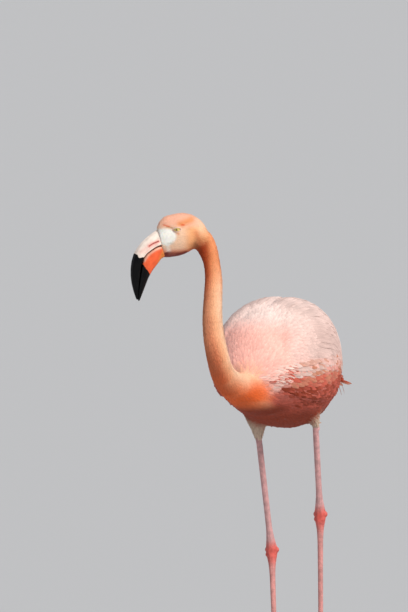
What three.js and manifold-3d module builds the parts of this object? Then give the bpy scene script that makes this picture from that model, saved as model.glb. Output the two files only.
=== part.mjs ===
// A flamingo, life size, wading: neck in an S, head turned to its right, weight on the right foot, left foot
// pushing off its toes. Millimetres, +Z up, +X to the bird's left, the breast towards -Y, soles at z = 0.
// Each surface is a loft: rings of points round a line, closed by a flat cap at each end.
import * as THREE from "three";
import { mergeVertices } from "three/addons/utils/BufferGeometryUtils.js";
import Module from "manifold-3d";

const wasm = await Module();
wasm.setup();

// ---------------------------------------------------------------- driving dimensions
const CUT = 0.3; // gap left between two pieces that meet
const WING_PROUD = 4; // how far a folded wing stands out of the trunk
const WING_DEPTH = 7; // how far it is let into the trunk
const WING_SPACE = 9; // half the strip of back between the wings
const WING_FRONT = -160; // how far forward its wrist lies
const WING_BACK = 290; // past the rump, so that it ends where the body does
const SLAB_DEPTH = 150; // more than half the body's width
const EYE_RADIUS = 6.5;
const SHANK_RADIUS = 5.3;
const TARSUS_RADIUS = 4.5;
const KNUCKLE_RADIUS = 10.5; // of the ankle joint

// Trunk sections from breast to rump: [y, half width, height above and below the widest level, that level].
const TRUNK = [
  [-198, 0, 0, 0, 602],
  [-150, 64, 72, 51, 610],
  [-100, 86, 97, 79, 616],
  [-45, 93, 106, 102, 618],
  [10, 87, 105, 113, 618],
  [70, 74, 97, 104, 614],
  [130, 54, 81, 81, 606],
  [183, 34, 59, 56, 594],
  [224, 19, 36, 31, 581],
  [252, 0, 0, 0, 571],
];
const BODY_END = 0.02; // share of the body's length, on a half circle, that its end caps cut off
const TRUNK_ROUND = 2.2; // exponent of the section: 2 is an ellipse, more is squarer

// Tail: its ends, and its half width and half thickness at each.
const TAIL = { root: [0, 190, 592], tip: [0, 283, 564], width: [25, 20], thick: [9, 3] };

// Neck: centre line from inside the breast to inside the skull, each [x, y, z, radius].
const NECK = [
  [4, -110, 575, 46],
  [3, -162, 577, 36],
  [1, -213, 586, 28],
  [1, -262, 600, 23.5],
  [1, -296, 617, 21],
  [0, -316, 643, 19.5],
  [-5, -322, 676, 18.6],
  [-13, -309, 708, 17.4],
  [-22, -282, 738, 16.3],
  [-33, -248, 769, 15.3],
  [-48, -217, 796, 14.5],
  [-63, -198, 818, 17.2],
  [-78, -190, 833, 19.6],
  [-97, -195, 842, 18],
];

// Head and bill lie in one upright plane. A point in it is [ahead of the skull's middle, above it].
const SKULL = new THREE.Vector3(-106.5, -198, 843.5);
const HEADING = new THREE.Vector3(-0.866, -0.5, 0).normalize();
const ACROSS = new THREE.Vector3(0, 0, 1).cross(HEADING); // towards the head's left side

// Head sections from nape to bill: [crown point, throat point, half width].
const HEAD = [
  [[-43, 2.5], [-16, -30], 16.5],
  [[-36, 14.5], [-11, -33], 19.5],
  [[-26, 23.5], [-5, -36], 22],
  [[-14, 30], [2, -38.5], 23.5],
  [[0, 32], [10, -40.5], 23],
  [[14, 30.5], [19.5, -41.5], 21.5],
  [[26, 26.5], [26, -41.5], 18.5],
  [[36, 20], [30.5, -41], 16],
  [[41.5, 9], [33, -40.5], 14],
];

// Bill sections from base to tip: [culmen point, gape point, lower edge point, half width].
const BILL = [
  [[28, 14], [26, -20], [26, -38], 13],
  [[41, 4.5], [36, -21.5], [33, -40.5], 13.5],
  [[53, -4], [44.5, -24], [37, -47], 14],
  [[64, -13], [52.5, -29], [42, -53.5], 14.5],
  [[73.5, -24], [60, -34.5], [48, -61], 14.5],
  [[80.5, -35.5], [66, -42], [53, -69], 14],
  [[84.5, -49.5], [69, -53], [57.5, -78], 12.5],
  [[86, -65], [71, -67.5], [61.5, -88.5], 10.5],
  [[85, -80.5], [72.5, -82.5], [66, -99.5], 8.5],
  [[81.5, -96.5], [73.5, -97.5], [69.5, -108.5], 6],
  [[76.5, -111], [74, -111.5], [72, -114], 2.5],
];
const EYE = [12, 5]; // in the head's plane
const EYE_OUT = 17.2; // eye centre from the head's plane

// Right leg under the body, left leg behind it: the joints of each, from thigh to foot.
const LEGS = {
  right: { hip: [-36, -36, 575], cuff: [-41, -6, 491], ankle: [-39.5, 55, 295.5], foot: [-15, 15, 12] },
  left: { hip: [40, -22, 588], cuff: [52.5, 14, 512], ankle: [39.5, 75, 356], foot: [38, 85, 64] },
};
// Toes: length, and degrees from straight ahead towards the midline.
const TOES = { inner: [64, 30], middle: [76, 2], outer: [70, -28] };
const TOE_RADIUS = [4.6, 2.9]; // at the root and at the claw
const HIND_RADIUS = [3.8, 2.2];
const CLAW_LENGTH = 8.5;
const WEB_THICK = 2.2;
const MIN_RUN = 18; // least distance that a hanging toe reaches forward
const SOLE_CUT = 0.5; // depth that the floor takes off the round of a toe
// Shape of a toe's line: [share of its length along the floor, share of its drop].
const FLAT_TOE = [[0, 0], [0.16, 0.35], [0.36, 0.76], [0.6, 0.95], [0.82, 1], [1, 1]];
const HANGING_TOE = [[0, 0], [0.1, 0.26], [0.2, 0.54], [0.3, 0.8], [0.42, 0.95], [0.68, 1], [1, 1]];

// ---------------------------------------------------------------- curves and surfaces
const vec = (p) => new THREE.Vector3(...p);

// Value of one column of a table at position x, along a smooth curve through its rows.
function column(rows, index, x, squared = false) {
  const value = (row) => (squared ? row[index] ** 2 : row[index]);
  let i = 0;
  while (i < rows.length - 2 && x > rows[i + 1][0]) i += 1;
  const slope = (j) => {
    const a = rows[Math.max(j - 1, 0)];
    const b = rows[Math.min(j + 1, rows.length - 1)];
    return (value(b) - value(a)) / (b[0] - a[0]);
  };
  const span = rows[i + 1][0] - rows[i][0];
  const t = THREE.MathUtils.clamp((x - rows[i][0]) / span, 0, 1);
  const smooth =
    value(rows[i]) * (2 * t ** 3 - 3 * t ** 2 + 1) +
    slope(i) * span * (t ** 3 - 2 * t ** 2 + t) +
    value(rows[i + 1]) * (3 * t ** 2 - 2 * t ** 3) +
    slope(i + 1) * span * (t ** 3 - t ** 2);
  return squared ? Math.sqrt(Math.max(smooth, 0)) : smooth;
}

// A closed surface from ring(s, angle), s from 0 to 1 along it. Each end is capped at middle(s).
function loft(ring, middle, along, around) {
  const geometry = new THREE.SphereGeometry(1, around, along + 2);
  const { position, uv } = geometry.attributes;
  for (let i = 0; i < position.count; i += 1) {
    const row = Math.round((1 - uv.getY(i)) * (along + 2));
    const s = THREE.MathUtils.clamp((row - 1) / along, 0, 1);
    const isCap = row === 0 || row === along + 2;
    const turn = Math.round(uv.getX(i) * around) % around;
    const p = isCap ? middle(s) : ring(s, (turn / around) * 2 * Math.PI);
    position.setXYZ(i, p.x, p.y, p.z);
  }
  return solid(geometry);
}

// The manifold solid of a closed geometry, turned inside out where its faces point inwards.
function solid(geometry) {
  geometry.deleteAttribute("normal");
  geometry.deleteAttribute("uv");
  const merged = mergeVertices(geometry, 1e-3);
  const { position } = merged.attributes;
  const corner = (i) => new THREE.Vector3().fromBufferAttribute(position, merged.index.getX(i));
  let volume = 0;
  for (let i = 0; i < merged.index.count; i += 3) volume += corner(i).dot(corner(i + 1).cross(corner(i + 2)));
  const triVerts = new Uint32Array(merged.index.array);
  if (volume < 0) triVerts.reverse();
  return new wasm.Manifold(new wasm.Mesh({ numProp: 3, vertProperties: position.array, triVerts }));
}

const sign = (x, power) => Math.sign(x) * Math.abs(x) ** power;

// Tube round a curve through points [x, y, z, radius].
function tube(points, along, around) {
  const centres = points.map(([x, y, z]) => new THREE.Vector3(x, y, z));
  const curve = new THREE.CatmullRomCurve3(centres, false, "centripetal");
  const radii = new THREE.SplineCurve(points.map((p, i) => new THREE.Vector2(i, p[3])));
  const frames = curve.computeFrenetFrames(along, false);
  const ring = (s, angle) => {
    const i = Math.round(s * along);
    const radius = radii.getPoint(s).y;
    return curve
      .getPoint(s)
      .addScaledVector(frames.normals[i], Math.cos(angle) * radius)
      .addScaledVector(frames.binormals[i], Math.sin(angle) * radius);
  };
  return loft(ring, (s) => curve.getPoint(s), along, around);
}

// Loft across the head's plane. Each section runs from a high to a low point, with its half width. Its widest
// level lies below the middle by the share "wide", and "above" and "below" flatten it on each side of that.
function headLoft(sections, along, around, { above = 1, below = 1, round = 2, wide = 0 } = {}) {
  const spline = (pick) => new THREE.SplineCurve(sections.map((s) => new THREE.Vector2(...pick(s))));
  const high = spline((s) => s[0]);
  const low = spline((s) => s[1]);
  const width = spline((s) => [0, s[2]]);
  const inPlane = ({ x, y }, side) =>
    SKULL.clone().addScaledVector(HEADING, x).addScaledVector(ACROSS, side).setZ(SKULL.z + y);
  const middle = (s) => inPlane(high.getPoint(s).lerp(low.getPoint(s), 0.5 + wide), 0);
  const ring = (s, angle) => {
    const top = high.getPoint(s);
    const bottom = low.getPoint(s);
    const centre = top.clone().lerp(bottom, 0.5 + wide);
    const rise = sign(Math.sin(angle), 2 / round) * (Math.sin(angle) > 0 ? above : below);
    const end = rise > 0 ? top : bottom;
    const out = sign(Math.cos(angle), 2 / round) * width.getPoint(s).y;
    return inPlane(centre.clone().lerp(end, Math.abs(rise)), out);
  };
  return loft(ring, middle, along, around);
}

// Box solid that fills all that lies behind a plane, or ahead of it. Intersecting with it cuts at the plane.
function behind(point, normal, gap = 0) {
  const size = 1500;
  const box = new THREE.BoxGeometry(size, size, size).translate(0, 0, -size / 2 - gap);
  const direction = normal.clone().normalize();
  const turn = new THREE.Quaternion().setFromUnitVectors(new THREE.Vector3(0, 0, 1), direction);
  return solid(box.applyQuaternion(turn).translate(point.x, point.y, point.z));
}
const ahead = (point, normal, gap = 0) => behind(point, normal.clone().negate(), gap);

// ---------------------------------------------------------------- trunk and wings
// Body surface, grown outwards by extra.
function body(extra) {
  const front = TRUNK[0][0];
  const back = TRUNK[TRUNK.length - 1][0];
  const reach = (back - front) / 2;
  const ring = (s, angle) => {
    const slide = -Math.cos(Math.PI * THREE.MathUtils.lerp(BODY_END, 1 - BODY_END, s));
    const y = (front + back) / 2 + reach * slide;
    const half = (index) => column(TRUNK, index, y, true) + extra;
    const rise = sign(Math.sin(angle), 2 / TRUNK_ROUND);
    return new THREE.Vector3(
      sign(Math.cos(angle), 2 / TRUNK_ROUND) * half(1),
      y + extra * slide,
      column(TRUNK, 4, y) + rise * half(rise > 0 ? 2 : 3),
    );
  };
  const middle = (s) => ring(s, 0).setX(0);
  return loft(ring, middle, 17, 22);
}

// Folded wing seen from the side: a slab on the bird's left (side 1) or right (-1), grown by extra all round.
function wingSlab(side, extra) {
  const outline = new THREE.Shape();
  const front = WING_FRONT - extra;
  const back = WING_BACK + extra;
  outline.moveTo(front, 606);
  outline.bezierCurveTo(front, 668, -105, 725 + extra, -25, 745 + extra);
  outline.bezierCurveTo(80, 755 + extra, 200, 690 + extra, back, 590 + extra);
  outline.lineTo(back, 560 - extra);
  outline.bezierCurveTo(200, 556 - extra, 80, 552 - extra, -20, 556 - extra);
  outline.bezierCurveTo(-90, 560 - extra, front, 570 - extra, front, 606);
  const options = { depth: SLAB_DEPTH, bevelEnabled: false, curveSegments: 7 };
  const slab = new THREE.ExtrudeGeometry(outline, options);
  const toSide = new THREE.Matrix4().makeBasis(vec([0, 1, 0]), vec([0, 0, 1]), vec([side, 0, 0]));
  return solid(slab.applyMatrix4(toSide.setPosition(side * (WING_SPACE - extra), 0, 0)));
}

const wholeBody = body(0);
const bodyGap = body(CUT);
const wingBed = body(-WING_DEPTH);
const wingFloor = body(-WING_DEPTH + CUT);
const wingRoof = body(WING_PROUD);
const wingRoofGap = body(WING_PROUD + CUT);
const sides = { left: 1, right: -1 };
const keepOut = [bodyGap]; // what no other piece may enter
let trunk = wholeBody;
const wingSolids = {};
for (const [name, side] of Object.entries(sides)) {
  const grown = wingSlab(side, CUT);
  trunk = trunk.subtract(grown.subtract(wingBed));
  keepOut.push(grown.intersect(wingRoofGap));
  wingSolids[name] = wingSlab(side, 0).intersect(wingRoof).subtract(wingFloor);
}
const clearOfBody = (shape) => keepOut.reduce((rest, taken) => rest.subtract(taken), shape);

// ---------------------------------------------------------------- tail
// A flat tuft that droops from inside the rump to a round end.
function tailTuft() {
  const middle = (s) => new THREE.Vector3().lerpVectors(vec(TAIL.root), vec(TAIL.tip), s);
  const ring = (s, angle) => {
    const width = THREE.MathUtils.lerp(...TAIL.width, s) * Math.sqrt(1 - 0.85 * s ** 5);
    const thick = THREE.MathUtils.lerp(...TAIL.thick, s);
    return middle(s).add(new THREE.Vector3(Math.cos(angle) * width, 0, Math.sin(angle) * thick));
  };
  return loft(ring, middle, 6, 12);
}

// ---------------------------------------------------------------- neck, head and bill
function headPoint(forward, up, side = 0) {
  return SKULL.clone().addScaledVector(HEADING, forward).addScaledVector(ACROSS, side).add(vec([0, 0, up]));
}
const headDirection = (forward, up) => headPoint(forward, up).sub(SKULL);
const faceCut = { point: headPoint(37, -15), normal: headDirection(1, -0.2) }; // where the bill begins

const neckTube = tube(NECK, 32, 12);
const headShape = headLoft(HEAD, 11, 16, { round: 2.1 });
const fleshAbove = neckTube.add(headShape);
const neckCuts = [
  { point: vec([-1, -318, 655]), normal: vec([-0.05, -0.1, 1]) }, // top of the lower bend
  { point: vec([-36, -240, 775]), normal: vec([-0.35, 0.6, 0.72]) }, // middle of the slope
  { point: headPoint(-30, -9), normal: headDirection(1, 0.42) }, // behind the ears
];

// Eyeballs, and the same balls grown a little, which hollow their sockets.
function eyeBall(side, radius) {
  const at = headPoint(EYE[0], EYE[1], side * EYE_OUT);
  return solid(new THREE.SphereGeometry(radius, 10, 7).translate(at.x, at.y, at.z));
}

// A point moved towards another by the gap between the two halves of the bill.
function nudge(from, to) {
  const length = Math.hypot(to[0] - from[0], to[1] - from[1]);
  return from.map((v, i) => v + ((to[i] - v) * 2 * CUT) / length);
}
const upperBill = BILL.map(([culmen, gape, , width]) => [culmen, gape, width]);
const lowerBill = BILL.map(([, gape, low, width]) => [nudge(gape, low), low, width - 2 * CUT]);
const billUpper = headLoft(upperBill, 12, 12, { round: 2, wide: 0.42, below: 0.92 });
const billLower = headLoft(lowerBill, 12, 12, { round: 2.3, wide: -0.36, above: 0.95 });

// ---------------------------------------------------------------- legs and feet
const between = (a, b, share) => a.clone().lerp(b, share);
const point4 = (p, radius) => [p.x, p.y, p.z, radius];

function legSolids(leg) {
  const [hip, cuff, ankle, foot] = [leg.hip, leg.cuff, leg.ankle, leg.foot].map(vec);
  const down = (from, to, distance) => between(from, to, distance / from.distanceTo(to));
  const thigh = tube(
    [
      point4(hip, 36),
      point4(between(hip, cuff, 0.4), 27),
      point4(between(hip, cuff, 0.72), 15),
      point4(between(hip, cuff, 0.9), 8.6),
      point4(cuff, 6.2),
      point4(down(cuff, ankle, 3), 5.8),
    ],
    8,
    12,
  );
  const shank = tube(
    [
      point4(cuff, SHANK_RADIUS),
      point4(between(cuff, ankle, 0.5), SHANK_RADIUS - 0.2),
      point4(down(ankle, cuff, 42), SHANK_RADIUS),
      point4(down(ankle, cuff, 22), 7),
      point4(down(ankle, cuff, 7), KNUCKLE_RADIUS - 1.2),
      point4(ankle, KNUCKLE_RADIUS),
    ],
    10,
    9,
  );
  const tarsus = tube(
    [
      point4(ankle, KNUCKLE_RADIUS - 0.6),
      point4(down(ankle, foot, 9), 9),
      point4(down(ankle, foot, 22), 6.4),
      point4(down(ankle, foot, 45), TARSUS_RADIUS + 0.3),
      point4(between(ankle, foot, 0.55), TARSUS_RADIUS - 0.3),
      point4(between(ankle, foot, 0.85), TARSUS_RADIUS),
      point4(foot, 6.6),
    ],
    12,
    9,
  );
  const bend = cuff.clone().sub(ankle).normalize().sub(foot.clone().sub(ankle).normalize());
  const shankAxis = ankle.clone().sub(cuff);
  const heelAt = down(foot, ankle, 11);
  const tarsusAxis = ankle.clone().sub(foot);
  return {
    thigh: clearOfBody(thigh).intersect(behind(cuff, shankAxis, CUT / 2)),
    shank: shank.intersect(ahead(cuff, shankAxis, CUT / 2)).intersect(ahead(ankle, bend, CUT / 2)),
    tarsus: tarsus.intersect(behind(ankle, bend, CUT / 2)).intersect(ahead(heelAt, tarsusAxis, CUT / 2)),
    heel: tarsus.intersect(behind(heelAt, tarsusAxis, CUT / 2)),
  };
}

// Centre line of a toe: flat on the floor from a low joint, or hanging from a raised one and bent at its end.
function toeLine(joint, length, degrees) {
  const turn = THREE.MathUtils.degToRad(degrees);
  const out = new THREE.Vector3(Math.sin(turn), -Math.cos(turn), 0);
  const drop = joint.z - TOE_RADIUS[1] + SOLE_CUT;
  const hangs = drop > length / 2;
  const steps = hangs ? HANGING_TOE : FLAT_TOE;
  const run = hangs ? Math.max(Math.sqrt(Math.max(length ** 2 - drop ** 2, 0)), MIN_RUN) * 1.2 : length;
  const at = (share, fall) => joint.clone().addScaledVector(out, share * run).setZ(joint.z - fall * drop);
  return steps.map(([share, fall]) => at(share, fall));
}

// Skin between two toes: a thin sheet with a hollow front edge.
function web(lineA, lineB) {
  const curves = [lineA, lineB].map((line) => new THREE.CatmullRomCurve3(line));
  const at = (s, share) => {
    const reach = THREE.MathUtils.lerp(0.05, 0.93, s) * (1 - 0.2 * s * Math.sin(Math.PI * share));
    return curves[0].getPoint(reach).lerp(curves[1].getPoint(reach), share);
  };
  const across = curves[1].getPoint(0.5).sub(curves[0].getPoint(0.5));
  const ring = (s, angle) => {
    const share = 0.5 + 0.5 * Math.cos(angle);
    const forwards = at(Math.min(s + 0.05, 1), share).sub(at(Math.max(s - 0.05, 0), share));
    const normal = across.clone().cross(forwards).normalize();
    return at(s, share).addScaledVector(normal, (Math.sin(angle) * WEB_THICK) / 2);
  };
  return loft(ring, (s) => at(s, 0.5), 5, 8);
}

// Foot and claws below a joint. Spread 1 opens the toes fully; side is 1 on the bird's left.
function footSolids(joint, side, spread) {
  const turned = (degrees) => -side * degrees * spread;
  const lines = Object.values(TOES).map(([length, degrees]) => toeLine(joint, length, turned(degrees)));
  const hindEnd = joint.clone().add(vec([5 * side, 17, -Math.min(joint.z - 2.4, 10)]));
  lines.push([joint.clone().add(vec([0, 4, 1])), between(joint, hindEnd, 0.6), hindEnd]);
  const parts = lines.map((line, i) => {
    const [root, end] = i < 3 ? TOE_RADIUS : HIND_RADIUS;
    const points = line.map((p, j) => point4(p, THREE.MathUtils.lerp(root, end, j / (line.length - 1))));
    const tip = line[line.length - 1];
    const along = tip.clone().sub(line[line.length - 2]).normalize();
    const clawEnd = tip.clone().addScaledVector(along, CLAW_LENGTH).add(vec([0, 0, -0.3]));
    const claw = [
      point4(tip.clone().addScaledVector(along, -1), end * 0.9),
      point4(tip, end * 0.88),
      point4(between(tip, clawEnd, 0.5), end * 0.66),
      point4(clawEnd, 0.6),
    ];
    return {
      toe: tube(points, i < 3 ? 6 : 3, 7).intersect(behind(tip, along, CUT / 2)),
      claw: tube(claw, 3, 6).intersect(ahead(tip, along, CUT / 2)),
    };
  });
  const webs = [web(lines[0], lines[1]), web(lines[1], lines[2])];
  return {
    foot: [...parts.map(({ toe }) => toe), ...webs].reduce((all, part) => all.add(part)),
    claws: parts.map(({ claw }) => claw),
  };
}

// ---------------------------------------------------------------- the bird
const colours = {
  pink: 0xf2c4b8,
  orange: 0xee8a5a,
  cream: 0xf3e3d6,
  coral: 0xe2786c,
  yellow: 0xe6d27a,
  horn: 0x2a2220,
};
const material = (name, roughness = 0.85) =>
  new THREE.MeshStandardMaterial({ color: colours[name], roughness, metalness: 0 });
const flamingo = new THREE.Group();
const floor = behind(vec([0, 0, 0]), vec([0, 0, 1]));

function addPiece(name, shape, colour, roughness) {
  const { numProp, vertProperties, triVerts } = shape.getMesh();
  const geometry = new THREE.BufferGeometry();
  const positions = new Float32Array((vertProperties.length / numProp) * 3);
  for (let i = 0; i * numProp < vertProperties.length; i += 1)
    positions.set(vertProperties.subarray(i * numProp, i * numProp + 3), i * 3);
  geometry.setAttribute("position", new THREE.BufferAttribute(positions, 3));
  geometry.setIndex(new THREE.BufferAttribute(triVerts, 1));
  geometry.computeVertexNormals();
  const mesh = new THREE.Mesh(geometry, material(colour, roughness));
  mesh.name = name;
  flamingo.add(mesh);
}

addPiece("trunk", trunk, "pink");
for (const side of Object.keys(sides)) addPiece(`wing_${side}`, wingSolids[side], "pink");
addPiece("tail", clearOfBody(tailTuft()), "pink");

const sockets = eyeBall(1, EYE_RADIUS + CUT).add(eyeBall(-1, EYE_RADIUS + CUT));
const [bendCut, slopeCut, napeCut] = neckCuts;
const below = (cut) => behind(cut.point, cut.normal, CUT / 2);
const above = (cut) => ahead(cut.point, cut.normal, CUT / 2);
addPiece("neck_lower", clearOfBody(fleshAbove).intersect(below(bendCut)), "orange");
addPiece("neck_middle", fleshAbove.intersect(above(bendCut)).intersect(below(slopeCut)), "orange");
addPiece("neck_upper", fleshAbove.intersect(above(slopeCut)).intersect(below(napeCut)), "orange");
const head = fleshAbove.intersect(above(napeCut)).intersect(behind(faceCut.point, faceCut.normal));
addPiece("head", head.subtract(sockets), "pink");
addPiece("eye_left", eyeBall(1, EYE_RADIUS), "yellow", 0.2);
addPiece("eye_right", eyeBall(-1, EYE_RADIUS), "yellow", 0.2);
const beyondFace = ahead(faceCut.point, faceCut.normal, CUT);
addPiece("bill_upper", billUpper.intersect(beyondFace), "cream", 0.4);
addPiece("bill_lower", billLower.intersect(beyondFace), "orange", 0.4);

for (const [side, leg] of Object.entries(LEGS)) {
  const { thigh, shank, tarsus, heel } = legSolids(leg);
  const { foot, claws } = footSolids(vec(leg.foot), sides[side], side === "left" ? 0.55 : 1);
  addPiece(`thigh_${side}`, thigh, "cream");
  addPiece(`shank_${side}`, shank, "coral", 0.5);
  addPiece(`tarsus_${side}`, tarsus, "coral", 0.5);
  addPiece(`foot_${side}`, foot.add(heel).subtract(floor), "coral", 0.5);
  claws.forEach((claw, i) => {
    addPiece(`claw_${side}_${[...Object.keys(TOES), "hind"][i]}`, claw.subtract(floor), "horn", 0.4);
  });
}

const bounds = new THREE.Box3().setFromObject(flamingo);
const middle = bounds.getCenter(new THREE.Vector3());
flamingo.position.set(-middle.x, -middle.y, -bounds.min.z);

export default flamingo;
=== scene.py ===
import math

import bpy
import numpy as np
from mathutils import Matrix, Vector
from mathutils.bvhtree import BVHTree
from mathutils.kdtree import KDTree


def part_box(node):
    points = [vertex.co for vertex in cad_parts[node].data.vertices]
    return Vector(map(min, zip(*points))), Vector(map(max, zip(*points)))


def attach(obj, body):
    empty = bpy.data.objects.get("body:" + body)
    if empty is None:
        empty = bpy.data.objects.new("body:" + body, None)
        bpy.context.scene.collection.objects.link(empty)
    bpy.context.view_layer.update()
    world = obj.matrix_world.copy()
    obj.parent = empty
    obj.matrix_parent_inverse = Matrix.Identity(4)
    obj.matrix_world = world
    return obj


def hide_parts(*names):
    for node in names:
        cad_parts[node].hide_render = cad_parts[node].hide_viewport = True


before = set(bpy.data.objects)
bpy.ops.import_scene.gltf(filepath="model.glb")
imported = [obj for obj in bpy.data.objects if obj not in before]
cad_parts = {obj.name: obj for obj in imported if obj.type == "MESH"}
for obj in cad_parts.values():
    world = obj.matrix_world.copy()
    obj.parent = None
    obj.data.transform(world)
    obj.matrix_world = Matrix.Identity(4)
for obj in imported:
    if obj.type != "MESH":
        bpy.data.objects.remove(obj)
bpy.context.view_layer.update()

millimetre = 0.001
upward = np.array((0.0, 0.0, 1.0))


# The head's own directions come from its eyes. Every place below is in millimetres, either from the
# bird's middle on the floor (x to its left, y to its tail) or from the skull's middle (ahead, up, left).
def middleOf(node):
    low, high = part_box(node)
    return np.array((low + high) / 2)


def unit(vectors):
    return vectors / np.maximum(np.linalg.norm(vectors, axis=-1, keepdims=True), 1e-12)


eyePlace = {"ahead": 12, "up": 5}
skullFromFloor = np.array((-106.5, -198.0, 843.5))
across = unit(middleOf("eye_left") - middleOf("eye_right"))
heading = np.cross(across, upward)
skull = (middleOf("eye_left") + middleOf("eye_right")) / 2
skull = skull - (heading * eyePlace["ahead"] + upward * eyePlace["up"]) * millimetre
birdOrigin = skull - skullFromFloor * millimetre


def place(x, y, z):
    return birdOrigin + np.array((x, y, z)) * millimetre


def headPlace(ahead, up, side=0.0):
    return skull + (heading * ahead + upward * up + across * side) * millimetre


def fromFloor(points):
    return (points - birdOrigin) / millimetre


def fromSkull(points):
    away = (points - skull) / millimetre
    return away @ heading, away[:, 2], away @ across


def ramp(value, low, high):
    share = np.clip((value - low) / (high - low), 0, 1)
    return share * share * (3 - 2 * share)


def bump(distance, width):
    return np.exp(-((distance / width) ** 2))


# camera, floor and light
view = {
    "aim": (-126, -38.9, 710.1),
    "camera": (4991.9, -14100, 1756.5),
    "lens": 529.4,
    "sensor": 36,
    "floorSize": 400,
    "sun": {
        "strength": 3.05,
        "softness": 14,
        "right": 0.7,
        "up": 0.84,
        "near": 0.82,
        "colour": (1.0, 0.965, 0.91),
    },
    "sky": {"colour": (0.86, 0.9, 1.0, 1), "strength": 0.42},
}


def deselect():
    bpy.ops.object.select_all(action="DESELECT")


def activate(piece):
    deselect()
    piece.select_set(True)
    bpy.context.view_layer.objects.active = piece


def addCamera():
    aim = Vector(place(*view["aim"]))
    stand = Vector(place(*view["camera"]))
    turn = (aim - stand).to_track_quat("-Z", "Y").to_euler()
    bpy.ops.object.camera_add(location=stand, rotation=turn)
    camera = bpy.context.object
    camera.data.lens = view["lens"]
    camera.data.sensor_width = view["sensor"]
    camera.data.clip_start = 1
    camera.data.clip_end = view["floorSize"]
    bpy.context.scene.camera = camera
    return camera


def addLight(camera):
    sun = view["sun"]
    turn = camera.matrix_world.to_3x3()
    towards = turn @ Vector((sun["right"], 0, sun["near"])) + Vector((0, 0, sun["up"]))
    bpy.ops.object.light_add(type="SUN", rotation=towards.to_track_quat("Z", "Y").to_euler())
    lamp = bpy.context.object
    lamp.name = "softKey"
    lamp.data.energy = sun["strength"]
    lamp.data.angle = math.radians(sun["softness"])
    lamp.data.color = sun["colour"]
    world = bpy.data.worlds.new("studio")
    world.use_nodes = True
    sky = world.node_tree.nodes["Background"].inputs
    sky["Color"].default_value = view["sky"]["colour"]
    sky["Strength"].default_value = view["sky"]["strength"]
    bpy.context.scene.world = world
    bpy.context.scene.view_settings.view_transform = "Standard"


camera = addCamera()
bpy.context.view_layer.update()
addLight(camera)
print("camera and light")


# colours, as they look in even light; the belly, the front of the neck, the jaw and the throat also carry
# painted shade, and the nape painted light
def linear(colour):
    share = np.array(colour, float) / 255
    return np.where(share <= 0.04045, share / 12.92, ((share + 0.055) / 1.055) ** 2.4)


def linearTints(colours):
    return {name: linear(colour) for name, colour in colours.items()}


tints = linearTints(
    {
        "back": (248, 222, 213),
        "scapular": (220, 191, 182),
        "breast": (250, 188, 174),
        "neckBase": (231, 103, 46),
        # the belly's own rust colour, darkened further as painted shade for the underside of the body
        "shadedBelly": (146, 58, 34),
        "salmon": (202, 134, 108),
        "flank": (200, 96, 78),
        "wingEdge": (238, 208, 196),
        "rump": (232, 186, 170),
        "tail": (230, 124, 84),
        "tailTip": (240, 168, 140),
        "thigh": (204, 178, 156),
        "neck": (244, 180, 136),
        # the front of the neck's own deeper orange, darkened further as painted shade for its shaded side and
        # underside
        "shadedNeckFront": (204, 82, 38),
        # the nape's own paler colour, lightened further as painted light for its lit side
        "nape": (248, 206, 172),
        # orange darkened as painted shade under the jaw
        "jaw": (164, 60, 28),
        "crown": (240, 182, 154),
        "cheek": (244, 204, 172),
        "cheekRear": (244, 176, 122),
        "neckTop": (236, 138, 78),
        "browPatch": (234, 144, 80),
        "browSpot": (222, 88, 34),
        "browDash": (220, 96, 52),
        "dashShade": (152, 110, 54),
        "lore": (250, 247, 238),
        "loreShade": (190, 182, 172),
        "lid": (232, 196, 176),
        "ear": (224, 140, 92),
        # the bare throat skin's red, darkened as painted shade under the head
        "throat": (128, 50, 38),
        "throatMiddle": (186, 112, 92),
        "black": (24, 20, 20),
    }
)


def blend(colours, tint, share):
    return colours + (tints[tint] - colours) * np.clip(share, 0, 1)[:, None]


# shader groups shared by several finishes
# Gives a socket another node's output, or a plain value
def feed(tree, socket, source):
    if isinstance(source, bpy.types.NodeSocket):
        tree.links.new(source, socket)
    else:
        socket.default_value = source


def addNode(tree, kind, inputs=None, **settings):
    node = tree.nodes.new(kind)
    for key, value in settings.items():
        setattr(node, key, value)
    for socket, source in (inputs or {}).items():
        feed(tree, node.inputs[socket], source)
    return node


def maths(tree, operation, *values):
    return addNode(tree, "ShaderNodeMath", dict(enumerate(values)), operation=operation).outputs[0]


def mixColours(tree, share, first, second):
    inputs = {0: share, 6: first, 7: second}
    return addNode(tree, "ShaderNodeMix", inputs, data_type="RGBA").outputs[2]


def scaleColour(tree, colour, factor):
    inputs = {0: colour, "Scale": factor}
    return addNode(tree, "ShaderNodeVectorMath", inputs, operation="SCALE").outputs[0]


def addNoise(tree, vector, size, detail):
    inputs = {"Vector": vector, "Scale": size, "Detail": detail}
    return addNode(tree, "ShaderNodeTexNoise", inputs).outputs[0]


def spreadRange(tree, value, low, high, start=0.0, end=1.0):
    ends = {"Value": value, "From Min": low, "From Max": high, "To Min": start, "To Max": end}
    return addNode(tree, "ShaderNodeMapRange", ends, interpolation_type="SMOOTHSTEP").outputs[0]


def newGroup(title, inputs, outputs):
    tree = bpy.data.node_groups.new(title, "ShaderNodeTree")
    for name, kind in inputs.items():
        tree.interface.new_socket(name, in_out="INPUT", socket_type="NodeSocket" + kind)
    for name, kind in outputs.items():
        tree.interface.new_socket(name, in_out="OUTPUT", socket_type="NodeSocket" + kind)
    start = tree.nodes.new("NodeGroupInput")
    end = tree.nodes.new("NodeGroupOutput")
    return tree, start.outputs, end.inputs


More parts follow.
